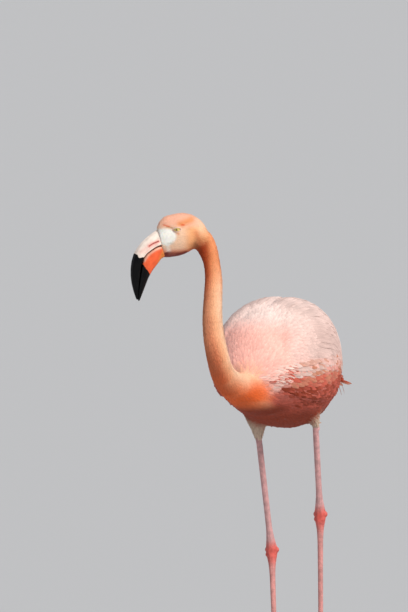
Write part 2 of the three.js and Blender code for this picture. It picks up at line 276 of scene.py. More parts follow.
# Barbs slanting from a shaft, a paler end, and a shade of its own for each feather
def makeBarbs():
    inputs = {"Tint": "Color", "Vary": "Float", "Vane": "Vector", "Barbs": "Float", "Contrast": "Float"}
    tree, start, end = newGroup("featherBarbs", inputs, {"Colour": "Color", "Height": "Float"})
    vane = addNode(tree, "ShaderNodeSeparateXYZ", {"Vector": start["Vane"]}).outputs
    fromShaft = maths(tree, "ABSOLUTE", maths(tree, "SUBTRACT", vane[1], 0.5))
    slant = maths(tree, "MULTIPLY_ADD", fromShaft, -0.45, vane[0])
    turns = maths(tree, "MULTIPLY", maths(tree, "MULTIPLY", slant, start["Barbs"]), 2 * math.pi)
    line = maths(tree, "MULTIPLY_ADD", maths(tree, "SINE", turns), 0.5, 0.5)
    seed = addNode(tree, "ShaderNodeCombineXYZ", {"X": slant, "Y": fromShaft, "Z": start["Vary"]})
    stretched = {0: seed.outputs[0], 1: (14, 2, 40)}
    stretch = addNode(tree, "ShaderNodeVectorMath", stretched, operation="MULTIPLY").outputs[0]
    clump = maths(tree, "MULTIPLY", addNoise(tree, stretch, 1.0, 2.0), 0.65)
    shade = maths(tree, "ADD", maths(tree, "MULTIPLY", line, 0.35), clump)
    lowest = maths(tree, "SUBTRACT", 1.0, start["Contrast"])
    depth = spreadRange(tree, shade, 0.2, 0.75, lowest, 1.0)
    own = maths(tree, "MULTIPLY_ADD", start["Vary"], 0.14, 0.93)
    tone = maths(tree, "MULTIPLY", depth, own)
    darkened = scaleColour(tree, start["Tint"], tone)
    tip = spreadRange(tree, vane[0], 0.5, 1.0, 0.0, 0.14)
    shaft = spreadRange(tree, fromShaft, 0.015, 0.06, 0.12, 0.0)
    lighter = maths(tree, "ADD", maths(tree, "ADD", tip, shaft), 1.0)
    tree.links.new(scaleColour(tree, darkened, lighter), end["Colour"])
    tree.links.new(maths(tree, "ADD", line, maths(tree, "MULTIPLY", shaft, 8.0)), end["Height"])
    return tree


# Soft patches, lighter and darker, that run over a whole piece
def makeMottle():
    inputs = {"Tint": "Color", "Place": "Vector", "Size": "Float", "Amount": "Float"}
    tree, start, end = newGroup("softMottle", inputs, {"Colour": "Color", "Value": "Float"})
    noise = addNoise(tree, start["Place"], start["Size"], 3.0)
    least = maths(tree, "SUBTRACT", 1.0, start["Amount"])
    most = maths(tree, "ADD", 1.0, start["Amount"])
    tone = spreadRange(tree, noise, 0.3, 0.7, least, most)
    tree.links.new(scaleColour(tree, start["Tint"], tone), end["Colour"])
    tree.links.new(noise, end["Value"])
    return tree


# Small plates of bare skin with a darker line between them
def makeScales():
    inputs = {"Tint": "Color", "Place": "Vector", "Size": "Float", "Groove": "Float"}
    tree, start, end = newGroup("skinScales", inputs, {"Colour": "Color", "Height": "Float"})
    cells = addNode(
        tree,
        "ShaderNodeTexVoronoi",
        {"Vector": start["Place"], "Scale": start["Size"]},
        feature="DISTANCE_TO_EDGE",
    ).outputs[0]
    height = spreadRange(tree, cells, 0.0, 0.14)
    lowest = maths(tree, "SUBTRACT", 1.0, start["Groove"])
    tone = spreadRange(tree, cells, 0.0, 0.09, lowest, 1.0)
    tree.links.new(scaleColour(tree, start["Tint"], tone), end["Colour"])
    tree.links.new(height, end["Height"])
    return tree


groups = {"barbs": makeBarbs(), "mottle": makeMottle(), "scales": makeScales()}


def newMaterial(title, **settings):
    material = bpy.data.materials.new(title)
    material.use_nodes = True
    tree = material.node_tree
    shader = tree.nodes["Principled BSDF"].inputs
    for socket, value in settings.items():
        shader[socket.replace("_", " ")].default_value = value
    return material, tree, shader


def useGroup(tree, name, inputs):
    return addNode(tree, "ShaderNodeGroup", inputs, node_tree=groups[name]).outputs


def readAttribute(tree, name):
    return addNode(tree, "ShaderNodeAttribute", attribute_name=name).outputs


def ownPlace(tree):
    return addNode(tree, "ShaderNodeTexCoord").outputs["Object"]


def addBump(tree, shader, height, strength, distance):
    sockets = {"Height": height, "Strength": strength, "Distance": distance}
    bumped = addNode(tree, "ShaderNodeBump", sockets)
    tree.links.new(bumped.outputs[0], shader["Normal"])


def featherFinish(title, barbs, contrast):
    material, tree, shader = newMaterial(title, Roughness=0.72, Specular_IOR_Level=0.16)
    vane = addNode(tree, "ShaderNodeUVMap", uv_map="vane").outputs[0]
    tint = readAttribute(tree, "tint")["Color"]
    soft = useGroup(tree, "mottle", {"Tint": tint, "Place": ownPlace(tree), "Size": 22.0, "Amount": 0.06})
    marks = {"Tint": soft["Colour"], "Vary": readAttribute(tree, "vary")["Fac"], "Vane": vane}
    barbed = useGroup(tree, "barbs", marks | {"Barbs": barbs, "Contrast": contrast})
    tree.links.new(barbed["Colour"], shader["Base Color"])
    addBump(tree, shader, barbed["Height"], 0.25, 0.0004)
    return material


def skinFinish():
    material, tree, shader = newMaterial("bareSkin", Roughness=0.6, Subsurface_Weight=0.12)
    shader["Subsurface Radius"].default_value = (0.004, 0.002, 0.001)
    tint = readAttribute(tree, "tint")["Color"]
    spot = ownPlace(tree)
    soft = useGroup(tree, "mottle", {"Tint": tint, "Place": spot, "Size": 160.0, "Amount": 0.07})
    fine = useGroup(tree, "scales", {"Tint": soft["Colour"], "Place": spot, "Size": 1300.0, "Groove": 0.05})
    tree.links.new(fine["Colour"], shader["Base Color"])
    addBump(tree, shader, fine["Height"], 0.12, 0.0002)
    return material


# meshes
# One new object from copies of CAD nodes, each point marked with the part that it comes from
def copyNodes(title, names, marks=None):
    deselect()
    copies = []
    for name in names:
        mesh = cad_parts[name].data.copy()
        mesh.materials.clear()
        piece = bpy.data.objects.new(title, mesh)
        bpy.context.scene.collection.objects.link(piece)
        piece.select_set(True)
        if marks:
            part = mesh.attributes.new("part", "FLOAT", "POINT")
            part.data.foreach_set("value", np.full(len(mesh.vertices), marks[name], np.float32))
        copies.append(piece)
    bpy.context.view_layer.objects.active = copies[0]
    bpy.ops.object.join()
    return copies[0]


# Runs edit-mode operators on a piece, each given as (operator, settings)
def inEditMode(piece, *steps):
    activate(piece)
    bpy.ops.object.mode_set(mode="EDIT")
    for operator, settings in steps:
        operator(**settings)
    bpy.ops.object.mode_set(mode="OBJECT")


# Selects the points for which wanted is true, and the faces between them
def pickPoints(piece, wanted):
    mesh = piece.data
    activate(piece)
    bpy.ops.object.mode_set(mode="EDIT")
    bpy.ops.mesh.select_mode(type="VERT")
    bpy.ops.mesh.select_all(action="DESELECT")
    bpy.ops.object.mode_set(mode="OBJECT")
    mesh.vertices.foreach_set("select", np.asarray(wanted, bool))


def smoothWhere(piece, wanted, rounds):
    pickPoints(piece, wanted)
    inEditMode(piece, (bpy.ops.mesh.vertices_smooth, {"factor": 0.5, "repeat": rounds}))


def smoothAll(piece, rounds):
    smoothWhere(piece, np.ones(len(piece.data.vertices), bool), rounds)


def subdivideWhere(piece, wanted):
    pickPoints(piece, wanted)
    inEditMode(piece, (bpy.ops.mesh.subdivide, {"number_cuts": 1}))


# Merges a piece of loose triangles, swells it to close the cuts, and gives it one even surface.
# Swell and voxel are in millimetres.
def remesh(piece, swell, voxel):
    inEditMode(
        piece,
        (bpy.ops.mesh.select_all, {"action": "SELECT"}),
        (bpy.ops.mesh.remove_doubles, {"threshold": 1e-5}),
        (bpy.ops.transform.shrink_fatten, {"value": swell * millimetre}),
    )
    piece.data.remesh_voxel_size = voxel * millimetre
    piece.data.remesh_voxel_adaptivity = 0
    piece.data.use_remesh_preserve_attributes = True
    bpy.ops.object.voxel_remesh()


def pointsOf(mesh):
    points = np.zeros(len(mesh.vertices) * 3, np.float32)
    mesh.vertices.foreach_get("co", points)
    return points.reshape(-1, 3).astype(float)


def normalsOf(mesh):
    normals = np.zeros(len(mesh.vertices) * 3, np.float32)
    mesh.vertices.foreach_get("normal", normals)
    return normals.reshape(-1, 3).astype(float)


def setPoints(mesh, points):
    mesh.vertices.foreach_set("co", points.astype(np.float32).ravel())
    mesh.update()


def edgesOf(mesh):
    edges = np.zeros(len(mesh.edges) * 2, np.int32)
    mesh.edges.foreach_get("vertices", edges)
    return edges.reshape(-1, 2)


# Averages values at a mesh's points with their neighbours', round after round
def spread(mesh, values, rounds):
    edges = edgesOf(mesh)
    count = len(mesh.vertices)
    near = np.bincount(edges.ravel(), minlength=count) + 1.0
    values = values.reshape(count, -1).copy()
    for _ in range(rounds):
        for column in range(values.shape[1]):
            old = values[:, column]
            total = old + np.bincount(edges[:, 0], old[edges[:, 1]], count)
            values[:, column] = (total + np.bincount(edges[:, 1], old[edges[:, 0]], count)) / near
    return values


def setTint(mesh, colours, name="tint"):
    rgba = np.ones((len(colours), 4), np.float32)
    rgba[:, :3] = colours
    layer = mesh.attributes.get(name) or mesh.attributes.new(name, "FLOAT_COLOR", "POINT")
    layer.data.foreach_set("color", rgba.ravel())


def setValue(mesh, name, values):
    layer = mesh.attributes.get(name) or mesh.attributes.new(name, "FLOAT", "POINT")
    layer.data.foreach_set("value", values.astype(np.float32))


def shadeSmooth(piece):
    activate(piece)
    bpy.ops.object.shade_smooth()


# Leaves the object that was just added at the origin, with its place in its mesh
def applyPlace():
    bpy.ops.object.transform_apply(location=True, rotation=True, scale=True)


# True for points within reach millimetres of a place
def isWithin(points, middle, reach):
    return np.linalg.norm(points - middle, axis=1) < reach * millimetre


# the neck's line, from inside the breast to inside the skull
neckLine = np.array(
    [
        (4, -110, 575), (3, -162, 577), (1, -213, 586), (1, -262, 600), (1, -296, 617), (0, -316, 643),
        (-5, -322, 676), (-13, -309, 708), (-22, -282, 738), (-33, -248, 769), (-48, -217, 796),
        (-63, -198, 818), (-78, -190, 833), (-97, -195, 842),
    ],
    float,
)
neckTwist = {"base": (0, 1, 0.4), "top": (0.866, 0.5, 0.1)}  # which way the nape faces


# Share of the neck's length from the breast, millimetres from its line, way down it, and napeness
def alongNeck(points):
    spots = fromFloor(points)
    starts, ends = neckLine[:-1], neckLine[1:]
    spans = ends - starts
    lengths = np.linalg.norm(spans, axis=1)
    before = np.concatenate(([0], np.cumsum(lengths)))
    offsets = spots[:, None] - starts
    shares = np.clip((offsets * spans).sum(2) / lengths**2, 0, 1)
    gaps = offsets - shares[..., None] * spans
    distances = np.linalg.norm(gaps, axis=2)
    nearest = distances.argmin(1)
    rows = np.arange(len(spots))
    share = (before[nearest] + shares[rows, nearest] * lengths[nearest]) / before[-1]
    base, top = np.array(neckTwist["base"]), np.array(neckTwist["top"])
    facing = unit(base + (top - base) * share[:, None])
    napeness = (unit(gaps[rows, nearest]) * facing).sum(1)
    return share, distances[rows, nearest], -unit(spans[nearest]), napeness


# skin: one surface over all the flesh
parts = {"trunk": 0, "wing": 1, "tail": 2, "neck": 3, "head": 4, "thigh": 5}
fleshNodes = {
    "trunk": "trunk",
    "wing_left": "wing",
    "wing_right": "wing",
    "tail": "tail",
    "neck_lower": "neck",
    "neck_middle": "neck",
    "neck_upper": "neck",
    "head": "head",
    "thigh_right": "thigh",
    "thigh_left": "thigh",
}
skinShape = {
    "swell": 0.5,  # closes the cuts between the nodes
    "voxel": 2.8,
    "rounds": {"trunk": 34, "wing": 30, "tail": 6, "neck": 14, "head": 4, "thigh": 5},
    "depth": {"trunk": 0.7, "wing": 1.7, "tail": 2.0, "neck": 1.1, "head": 0.8, "thigh": 1.4},
    "bareDepth": 0.1,  # where no feathers grow
    "cuffDepth": 0.4,
    "soften": 16,  # rounds that blend one part's depth into the next's
}
eyeShape = {
    "radius": 6.9,
    "out": 15.9,  # its middle from the head's plane
    "lid": 0.75,
    "length": 6.2,  # half the opening
    "upperArch": 2.9,
    "lowerArch": 2.3,
    "tilt": 7,
    "pocket": 3.2,
    "ring": 1.7,  # bare skin round the lids
}
cuffs = {"right": ((-36, -36, 575), (-41, -6, 491)), "left": ((40, -22, 588), (52.5, 14, 512))}


# Millimetres along and above the middle of the lids, and outwards from the eyeball's middle
def aroundEye(points, side):
    ahead, up, out = fromSkull(points)
    turn = math.radians(eyeShape["tilt"])
    ahead, up = ahead - eyePlace["ahead"], up - eyePlace["up"]
    along = ahead * math.cos(turn) - up * math.sin(turn)
    above = ahead * math.sin(turn) + up * math.cos(turn)
    return along, above, out * side - eyeShape["out"]


# Millimetres outside the opening between the lids, less than 0 inside it
def pastLids(along, above):
    arch = np.where(above > 0, eyeShape["upperArch"], eyeShape["lowerArch"])
    share = np.clip(np.abs(along) / eyeShape["length"], 0, 1)
    inside = np.abs(above) - arch * (1 - share**2) ** 0.75
    beyond = np.hypot(np.maximum(np.abs(along) - eyeShape["length"], 0), above)
    return np.where(np.abs(along) < eyeShape["length"], inside, beyond)


# Millimetres from the nearer pair of lids, over the head's surface
def eyeGap(points):
    gaps = []
    for side in (1, -1):
        along, above, out = aroundEye(points, side)
        gaps.append(np.where(out > -8, pastLids(along, above), 99))
    return np.minimum(*gaps)


# 1 well inside an oval on the side of the head, 0 outside it
def insideRound(ahead, up, middle, radii, inner=0.72, outer=0.98):
    away = np.hypot((ahead - middle[0]) / radii[0], (up - middle[1]) / radii[1])
    return 1 - ramp(away, inner, outer)


bareFace = {"middle": (31, -6.5), "radii": (17, 13)}


def nearStroke(ahead, up, start, end, width):
    span = np.subtract(end, start)
    share = ((ahead - start[0]) * span[0] + (up - start[1]) * span[1]) / (span @ span)
    share = np.clip(share, 0, 1)
    return bump(np.hypot(ahead - start[0] - share * span[0], up - start[1] - share * span[1]), width)


# The strip of skin under the jaw, widest behind the bill
def onThroat(ahead, up, side):
    edge = 28.5 + 5 * ramp(ahead, 20, 33) + 3 * ramp(-ahead, -2, 12)
    return ramp(-up - edge, -1, 1.4) * ramp(ahead, -16, -4) * (1 - ramp(np.abs(side), 12, 16))


# 1 where the head is bare: between bill and eye, on the throat and round the eyes
def bareness(points):
    ahead, up, side = fromSkull(points)
    face = insideRound(ahead, up, bareFace["middle"], bareFace["radii"])
    strip = onThroat(ahead, up, side)
    lids = 1 - ramp(eyeGap(points), eyeShape["ring"] - 0.5, eyeShape["ring"] + 0.4)
    return np.maximum(np.maximum(face, strip), lids) * isWithin(points, skull, 75)


# How far up the leg a point lies from the end of its thigh feathers, and from the leg's line
def cuffGap(points):
    spots = fromFloor(points)
    best = np.full((len(spots), 2), 999.0)
    for hip, cuff in cuffs.values():
        hip, cuff = np.array(hip, float), np.array(cuff, float)
        span = unit(hip - cuff)
        above = (spots - cuff) @ span
        away = np.linalg.norm(spots - cuff - above[:, None] * span, axis=1)
        better = away < best[:, 1]
        best[better] = np.stack((above, away), 1)[better]
    return best[:, 0], best[:, 1]


# Stretches the skin over each eyeball, opens it between the lids, and raises their rims
def shapeLids(mesh):
    points = pointsOf(mesh)
    for side in (1, -1):
        along, above, out = aroundEye(points, side)
        flat = np.hypot(along, above)
        near = (flat < 9.5) & (out > -6)
        gap = pastLids(along, above)
        dome = np.sqrt(np.maximum((eyeShape["radius"] + eyeShape["lid"]) ** 2 - flat**2, 0.01))
        raised = np.logaddexp(out * 2, dome * 2) / 2
        raised = out + (raised - out) * (1 - ramp(flat, 7.5, 9.5))
        raised = raised + 0.35 * bump(gap - 0.45, 0.45) - 0.3 * bump(gap - 1.7, 0.6)
        ball = np.sqrt(np.maximum(eyeShape["radius"] ** 2 - flat**2, 0.01))
        pocket = np.minimum(ball, raised) - eyeShape["pocket"]
        opened = raised + (pocket - raised) * ramp(-gap, -0.1, 0.35)
        shift = (opened - out) * near * millimetre * side
        points += shift[:, None] * across
    setPoints(mesh, points)


muzzleLip = 0.5  # how far the skin laps over the bill's root


# Brings the skin behind the bill out to the head's own sharp rim
def fitMuzzle(mesh):
    points = pointsOf(mesh)
    head = BVHTree.FromObject(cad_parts["head"], bpy.context.evaluated_depsgraph_get())
    ahead, _, _ = fromSkull(points)
    wanted = ramp(ahead, 15, 26) * isWithin(points, skull, 60)
    for index in np.nonzero(wanted)[0]:
        spot, _, _, gap = head.find_nearest(Vector(points[index]))
        if gap < 0.004:
            points[index] += (np.array(spot) - points[index]) * wanted[index]
    setPoints(mesh, points)
    lip = ramp(ahead, 20, 28) * (wanted > 0) * muzzleLip * millimetre
    setPoints(mesh, points + normalsOf(mesh) * lip[:, None])


def nearFace(points):
    return isWithin(points, headPlace(8, -6), 48)


def nearEyes(points):
    near = np.zeros(len(points), bool)
    for side in (1, -1):
        along, above, out = aroundEye(points, side)
        near |= (np.hypot(along, above) < 10) & (out > -4)
    return near


# Where two parts meet at a step: place, reach and rounds of smoothing
joinsToSmooth = [
    ((0, -122, 542), 56, 90), ((0, -124, 540), 40, 60), ((44, -140, 562), 34, 40), ((-44, -140, 562), 34, 40),
    ((40, -20, 545), 30, 14), ((-38, -30, 545), 30, 14),
]


def makeSkin():
    marks = {name: parts[part] for name, part in fleshNodes.items()}
    eyeballs = {"eye_left": parts["head"], "eye_right": parts["head"]}  # these fill the sockets
    skin = copyNodes("skin", [*marks, *eyeballs], marks | eyeballs)
    remesh(skin, skinShape["swell"], skinShape["voxel"])
    part = np.zeros(len(skin.data.vertices), np.float32)
    skin.data.attributes["part"].data.foreach_get("value", part)
    part = np.rint(part).astype(int)
    for name, rounds in skinShape["rounds"].items():
        smoothWhere(skin, part == parts[name], rounds)
    for spot, reach, rounds in joinsToSmooth:
        smoothWhere(skin, isWithin(pointsOf(skin.data), place(*spot), reach), rounds)
    weights = np.stack([part == number for number in parts.values()], 1).astype(float)
    weights = spread(skin.data, weights, skinShape["soften"])
    points = pointsOf(skin.data)
    depth = weights @ np.array([skinShape["depth"][name] for name in parts])
    depth += (skinShape["bareDepth"] - depth) * bareness(points)
    above, away = cuffGap(points)
    atCuff = (1 - ramp(above, 4, 45)) * (away < 40) * weights[:, parts["thigh"]]
    depth += (skinShape["cuffDepth"] - depth) * atCuff
    setPoints(skin.data, points - normalsOf(skin.data) * depth[:, None] * millimetre)
    setTint(skin.data, weights[:, :3], "weightsBody")
    setTint(skin.data, weights[:, 3:], "weightsFront")
    for isNear in (nearFace, nearEyes, nearEyes):
        subdivideWhere(skin, isNear(pointsOf(skin.data)))
        smoothWhere(skin, isNear(pointsOf(skin.data)), 2)
    fitMuzzle(skin.data)
    shapeLids(skin.data)
    shadeSmooth(skin)
    return skin


skin = makeSkin()
print("skin", len(skin.data.vertices), "points")


# markings, the same on skin and feathers, with painted shade under the body, the neck and the head and
# painted light on the nape
def glowOfBreast(points):
    x, y, z = fromFloor(points).T
    away = np.linalg.norm(np.stack(((x - 4) * 0.95, (y + 204) * 0.5, (z - 577) * 1.3)), axis=0)
    return (1 - ramp(away, 22, 50)) * ramp(z, 554, 570)


def underShade(points):
    _, y, z = fromFloor(points).T
    return (1 - ramp(z, 546, 564)) * ramp(y, -275, -215)


def bodyColours(points, wing):
    x, y, z = fromFloor(points).T
    # the lower body starts from the belly tint, its own rust with painted shade
    colours = np.tile(tints["shadedBelly"], (len(points), 1))
    colours = blend(colours, "breast", ramp(z + 0.1 * (x - 10), 556, 588))
    colours = blend(colours, "back", ramp(z, 668, 706) * ramp(y, -190, -120))
    rearSide = ramp(y, -150, -100) * ramp(np.abs(x), 30, 56)
    colours = blend(colours, "scapular", np.maximum(wing * 0.8, rearSide) * ramp(z, 606, 640) * 0.9)
    forward = y - 0.7 * (z - 576)  # the edge of the folded wing slants
    lower = (1 - ramp(z, 598, 624)) * ramp(forward, -172, -152)
    colours = blend(colours, "flank", lower * ramp(z, 530, 556) * 0.85)
    wrist = bump(forward + 177, 9) * bump(z - 586, 26) * ramp(np.abs(x), 24, 40)
    colours = blend(colours, "wingEdge", wrist * 0.85)
    colours = blend(colours, "rump", ramp(y, 150, 230) * ramp(z, 560, 600) * 0.6)
    return blend(colours, "neckBase", glowOfBreast(points))


def neckColours(points):
    share, _, _, napeness = alongNeck(points)
    colours = np.tile(tints["neck"], (len(points), 1))
    # painted light and painted shade: the nape side paler as if lit, the front side darker as if in shade,
    # over a milder difference of the feathers' own; less of the shade at the middle of the neck
    colours = blend(colours, "nape", ramp(napeness, -0.3, 0.7) * 0.9)
    middle = bump(share - 0.58, 0.14)
    colours = blend(colours, "neckTop", ramp(share, 0.62, 0.86) * 0.8)
    colours = blend(colours, "shadedNeckFront", ramp(-napeness, 0.0, 0.8) * (0.9 - 0.5 * middle))
    beside = ramp(np.abs(fromFloor(points)[:, 0]), 24, 40) * (1 - ramp(share, 0.12, 0.24))
    colours = colours + (bodyColours(points, 0) - colours) * beside[:, None]
    glow = bump(share - 0.24, 0.15) * ramp(-napeness, -0.8, 0.2) * 0.95 * (1 - beside)
    colours = blend(colours, "neckBase", np.maximum(glowOfBreast(points), glow))
    colours = blend(colours, "shadedBelly", underShade(points) * (1 - ramp(share, 0.22, 0.3)))
    # painted shade under the jaw, on the top of the neck's front
    return blend(colours, "jaw", ramp(share, 0.8, 0.93) * ramp(-napeness, -0.45, 0.5))


headMarks = [  # strokes on the side of the head: tint, both ends, width and strength
    ("ear", (-19, 0), (-25, -16), 4.5, 0.75),
    ("browPatch", (7, 14), (-13, 21), 5.2, 0.8),
    ("browSpot", (4, 12.6), (0.5, 12.8), 1.7, 0.85),
    ("dashShade", (28, 9.6), (20.5, 8), 1.4, 0.6),
    ("browDash", (32.5, 12.4), (24, 10), 1.3, 0.8),
    ("browSpot", (12, -1.6), (9, -2.2), 1.3, 0.5),
]


def headColours(points):
    ahead, up, side = fromSkull(points)
    colours = np.tile(tints["cheek"], (len(points), 1))
    colours = blend(colours, "cheekRear", ramp(-ahead, -7, 14))
    colours = blend(colours, "crown", ramp(up, 4, 15))
    # the back of the head takes the nape tint, with its painted light
    colours = blend(colours, "nape", ramp(-ahead, 10, 34) * ramp(up, -12, 6) * 0.7)
    # painted shade under the head: the jaw tint on its lower back, the neck's front tint on its underside
    colours = blend(colours, "jaw", ramp(-ahead, 4, 30) * ramp(-up, 8, 26))
    colours = blend(colours, "shadedNeckFront", ramp(-up, 24, 33) * 0.6)
    for tint, start, end, width, strength in headMarks:
        colours = blend(colours, tint, nearStroke(ahead, up, start, end, width) * strength)
    face = insideRound(ahead, up, bareFace["middle"], bareFace["radii"], 0.72, 1.3)
    belowFace = nearStroke(ahead, up, (29, -16), (25, -30), 5)
    colours = blend(colours, "lore", ramp(face + 0.5 * belowFace, 0, 0.9))
    colours = blend(colours, "loreShade", nearStroke(ahead, up, (27, -18), (19, -17.5), 2.4) * 0.45)
    colours = blend(colours, "lid", 1 - ramp(eyeGap(points), 1.2, 2.4))
    strip = onThroat(ahead, up, side)
    # the throat strip: bare red skin, darkened with painted shade
    colours = blend(colours, "throat", strip)
    return blend(colours, "throatMiddle", nearStroke(ahead, up, (23, -35), (15, -35.5), 2.4) * strip * 0.5)


def thighColours(points):
    above, _ = cuffGap(points)
    colours = np.tile(tints["thigh"], (len(points), 1))
    # the top of the thigh takes the belly tint, with its painted shade
    return blend(colours, "shadedBelly", ramp(above, 18, 62))


# Weights are each point's shares of trunk, wing, tail, neck, head and thigh
def coatColours(points, weights):
    body = bodyColours(points, weights[:, parts["wing"]])
    shares = {
        "trunk": body,
        "wing": body,
        "tail": np.tile(tints["tail"], (len(points), 1)),
        "neck": neckColours(points),
        "head": headColours(points),
        "thigh": thighColours(points),
    }
    return sum(weights[:, [parts[name]]] * colours for name, colours in shares.items())


# the lie of the coat: which way feathers point, all over the skin
billRoot = (46, -6)  # feathers of the face point away from here
neckRoot = (3, -172, 585)  # and those of the breast from here


def lieOfCoat(points, normals, weights):
    _, _, downNeck, _ = alongNeck(points)
    y, z = fromFloor(points)[:, 1:].T
    tailwards = ramp(y, -150, -30)[:, None]
    fromRoot = points - place(*neckRoot)
    fromRoot[:, 1] = np.maximum(fromRoot[:, 1], 0) + 0.03
    body = unit(fromRoot) * (1 - tailwards) + np.array((0, 1, -0.12)) * tailwards
    droop = 0.75 * ramp(z, 600, 690) * ramp(y, -60, 120)
    wing = np.stack((0 * y, np.ones(len(y)), -0.2 - droop), 1)
    legs = np.zeros((len(points), 3))
    for side, (hip, cuff) in cuffs.items():
        own = (fromFloor(points)[:, 0] > 0) == (side == "left")
        legs[own] = unit(np.subtract(cuff, hip).astype(float))
    ways = {
        "trunk": unit(body),
        "wing": unit(wing),
        "tail": np.tile(unit(np.array((0, 1, -0.3))), (len(points), 1)),
        "neck": downNeck,
        "head": unit(points - headPlace(*billRoot)),
        "thigh": legs,
    }
    flow = sum(weights[:, [parts[name]]] * way for name, way in ways.items())
    for _ in range(3):
        flow = flow - (flow * normals).sum(1, keepdims=True) * normals
        flow = spread(skin.data, unit(flow), 8)
    return unit(flow - (flow * normals).sum(1, keepdims=True) * normals)


def readColumns(mesh, name):
    values = np.zeros(len(mesh.vertices) * 4, np.float32)
    mesh.attributes[name].data.foreach_get("color", values)
    return values.reshape(-1, 4)[:, :3].astype(float)


# Arrays that the feathers grow from: the skin's points, normals, lie, weights, triangles and map
def readCoat():
    inEditMode(
        skin,
        (bpy.ops.mesh.select_all, {"action": "SELECT"}),
        (bpy.ops.uv.smart_project, {"angle_limit": math.radians(66), "island_margin": 0.002}),
    )
    mesh = skin.data
    mesh.uv_layers[0].name = "OFBake"
    points, normals = pointsOf(mesh), normalsOf(mesh)
    weights = np.hstack((readColumns(mesh, "weightsBody"), readColumns(mesh, "weightsFront")))
    weights /= weights.sum(1, keepdims=True)
    mesh.calc_loop_triangles()
    corners = np.zeros(len(mesh.loop_triangles) * 3, np.int32)
    loops = corners.copy()
    mesh.loop_triangles.foreach_get("vertices", corners)
    mesh.loop_triangles.foreach_get("loops", loops)
    flat = np.zeros(len(mesh.loops) * 2, np.float32)
    mesh.uv_layers["OFBake"].data.foreach_get("uv", flat)
    tree = KDTree(len(points))
    for index, point in enumerate(points):
        tree.insert(point, index)
    tree.balance()
    for name in ("weightsBody", "weightsFront", "part"):
        mesh.attributes.remove(mesh.attributes[name])
    setTint(mesh, coatColours(points, weights))
    return {
        "points": points,
        "normals": normals,
        "weights": weights,
        "bare": bareness(points),
        "lie": lieOfCoat(points, normals, weights),
        "corners": corners.reshape(-1, 3),
        "map": flat.reshape(-1, 2)[loops].reshape(-1, 3, 2).astype(float),
        "tree": tree,
        "surface": BVHTree.FromPolygons(points.tolist(), corners.reshape(-1, 3).tolist()),
    }


coat = readCoat()
print("lie of the coat")


# Feather roots at shares of skin triangles
def rootsAt(triangles, shares):
    corners = coat["corners"][triangles]

    def between(values):
        return (values[corners] * shares[..., None]).sum(1)

    return {
        "place": between(coat["points"]),
        "normal": unit(between(coat["normals"])),
        "way": unit(between(coat["lie"])),
        "weights": between(coat["weights"]),
        "map": (coat["map"][triangles] * shares[..., None]).sum(1),
    }


triesPerPlace = 3.2  # how often each place on the skin is tried for a root


# Roots all over the skin at least spacing millimetres apart, thinned where chance is under 1
def scatter(spacing, chance, seed):
    random = np.random.default_rng(seed)
    spacing = spacing * millimetre
    a, b, c = (coat["points"][coat["corners"][:, i]] for i in range(3))
    areas = np.linalg.norm(np.cross(b - a, c - a), axis=1) / 2
    odds = areas * chance[coat["corners"]].mean(1)
    count = int(odds.sum() / spacing**2 * triesPerPlace)
    triangles = random.choice(len(areas), count, p=odds / odds.sum())
    u, v = np.sqrt(random.random(count)), random.random(count)
    shares = np.stack((1 - u, u * (1 - v), u * v), 1)
    roots = rootsAt(triangles, shares)
    cells = np.floor(roots["place"] / spacing).astype(int)
    taken, kept = {}, []
    steps = [(i, j, k) for i in (-1, 0, 1) for j in (-1, 0, 1) for k in (-1, 0, 1)]
    spots = roots["place"].tolist()
    for index, (i, j, k) in enumerate(cells.tolist()):
        x, y, z = spots[index]
        crowded = False
        for di, dj, dk in steps:
            for other in taken.get((i + di, j + dj, k + dk), ()):
                if (other[0] - x) ** 2 + (other[1] - y) ** 2 + (other[2] - z) ** 2 < spacing**2:
                    crowded = True
                    break
            if crowded:
                break
        if not crowded:
            taken.setdefault((i, j, k), []).append(spots[index])
            kept.append(index)
    return {name: values[kept] for name, values in roots.items()}


def choose(roots, wanted):
    return {name: values[wanted] for name, values in roots.items()}


def joinRoots(several):
    return {name: np.concatenate([roots[name] for roots in several]) for name in several[0]}


bodyLevel = 612  # height of the line inside the body that turns are measured round


# A root on the body's surface, found by its place along the body and its turn from the back
def aroundBody(y, degrees, side):
    start = place(0, y, bodyLevel)
    turn = math.radians(degrees)
    way = np.array((side * math.sin(turn), 0, math.cos(turn)))
    spot, _, triangle, _ = coat["surface"].ray_cast(Vector(start), Vector(way))
    if spot is None:
        return None
    a, b, c = coat["points"][coat["corners"][triangle]]
    normal = np.cross(b - a, c - a)
    whole = normal @ normal
    u = np.cross(c - b, np.array(spot) - b) @ normal / whole
    v = np.cross(a - c, np.array(spot) - c) @ normal / whole
    return rootsAt(np.array([triangle]), np.array([[u, v, 1 - u - v]]))


edgeGap = 4  # millimetres; a place farther than this from the skin's points is past its edge


# Points, normals and ways of lines that lie along the skin and run on straight past its edges
def followCoat(roots, ways, steps, keepWay, leaves):
    places, normals, headings = [roots["place"]], [roots["normal"]], [ways]
    for step in steps:
        spots = places[-1] + headings[-1] * step[:, None]
        nearest = np.array([coat["tree"].find(point)[1] for point in spots.tolist()])
        normal = coat["normals"][nearest]
        gap = ((spots - coat["points"][nearest]) * normal).sum(1)
        far = np.linalg.norm(spots - coat["points"][nearest], axis=1) - np.abs(gap)
        free = (((normal * headings[-1]).sum(1) > 0.4) | (far > edgeGap * millimetre)) & leaves
        spots = np.where(free[:, None], spots, spots - normal * gap[:, None])
        normal = np.where(free[:, None], normals[-1], normal)
        way = headings[-1] * keepWay + coat["lie"][nearest] * (1 - keepWay)
        way = np.where(free[:, None], headings[-1], way)
        places.append(spots)
        normals.append(normal)
        headings.append(unit(way - (way * normal).sum(1, keepdims=True) * normal))
    return (np.stack(values, 1) for values in (places, normals, headings))


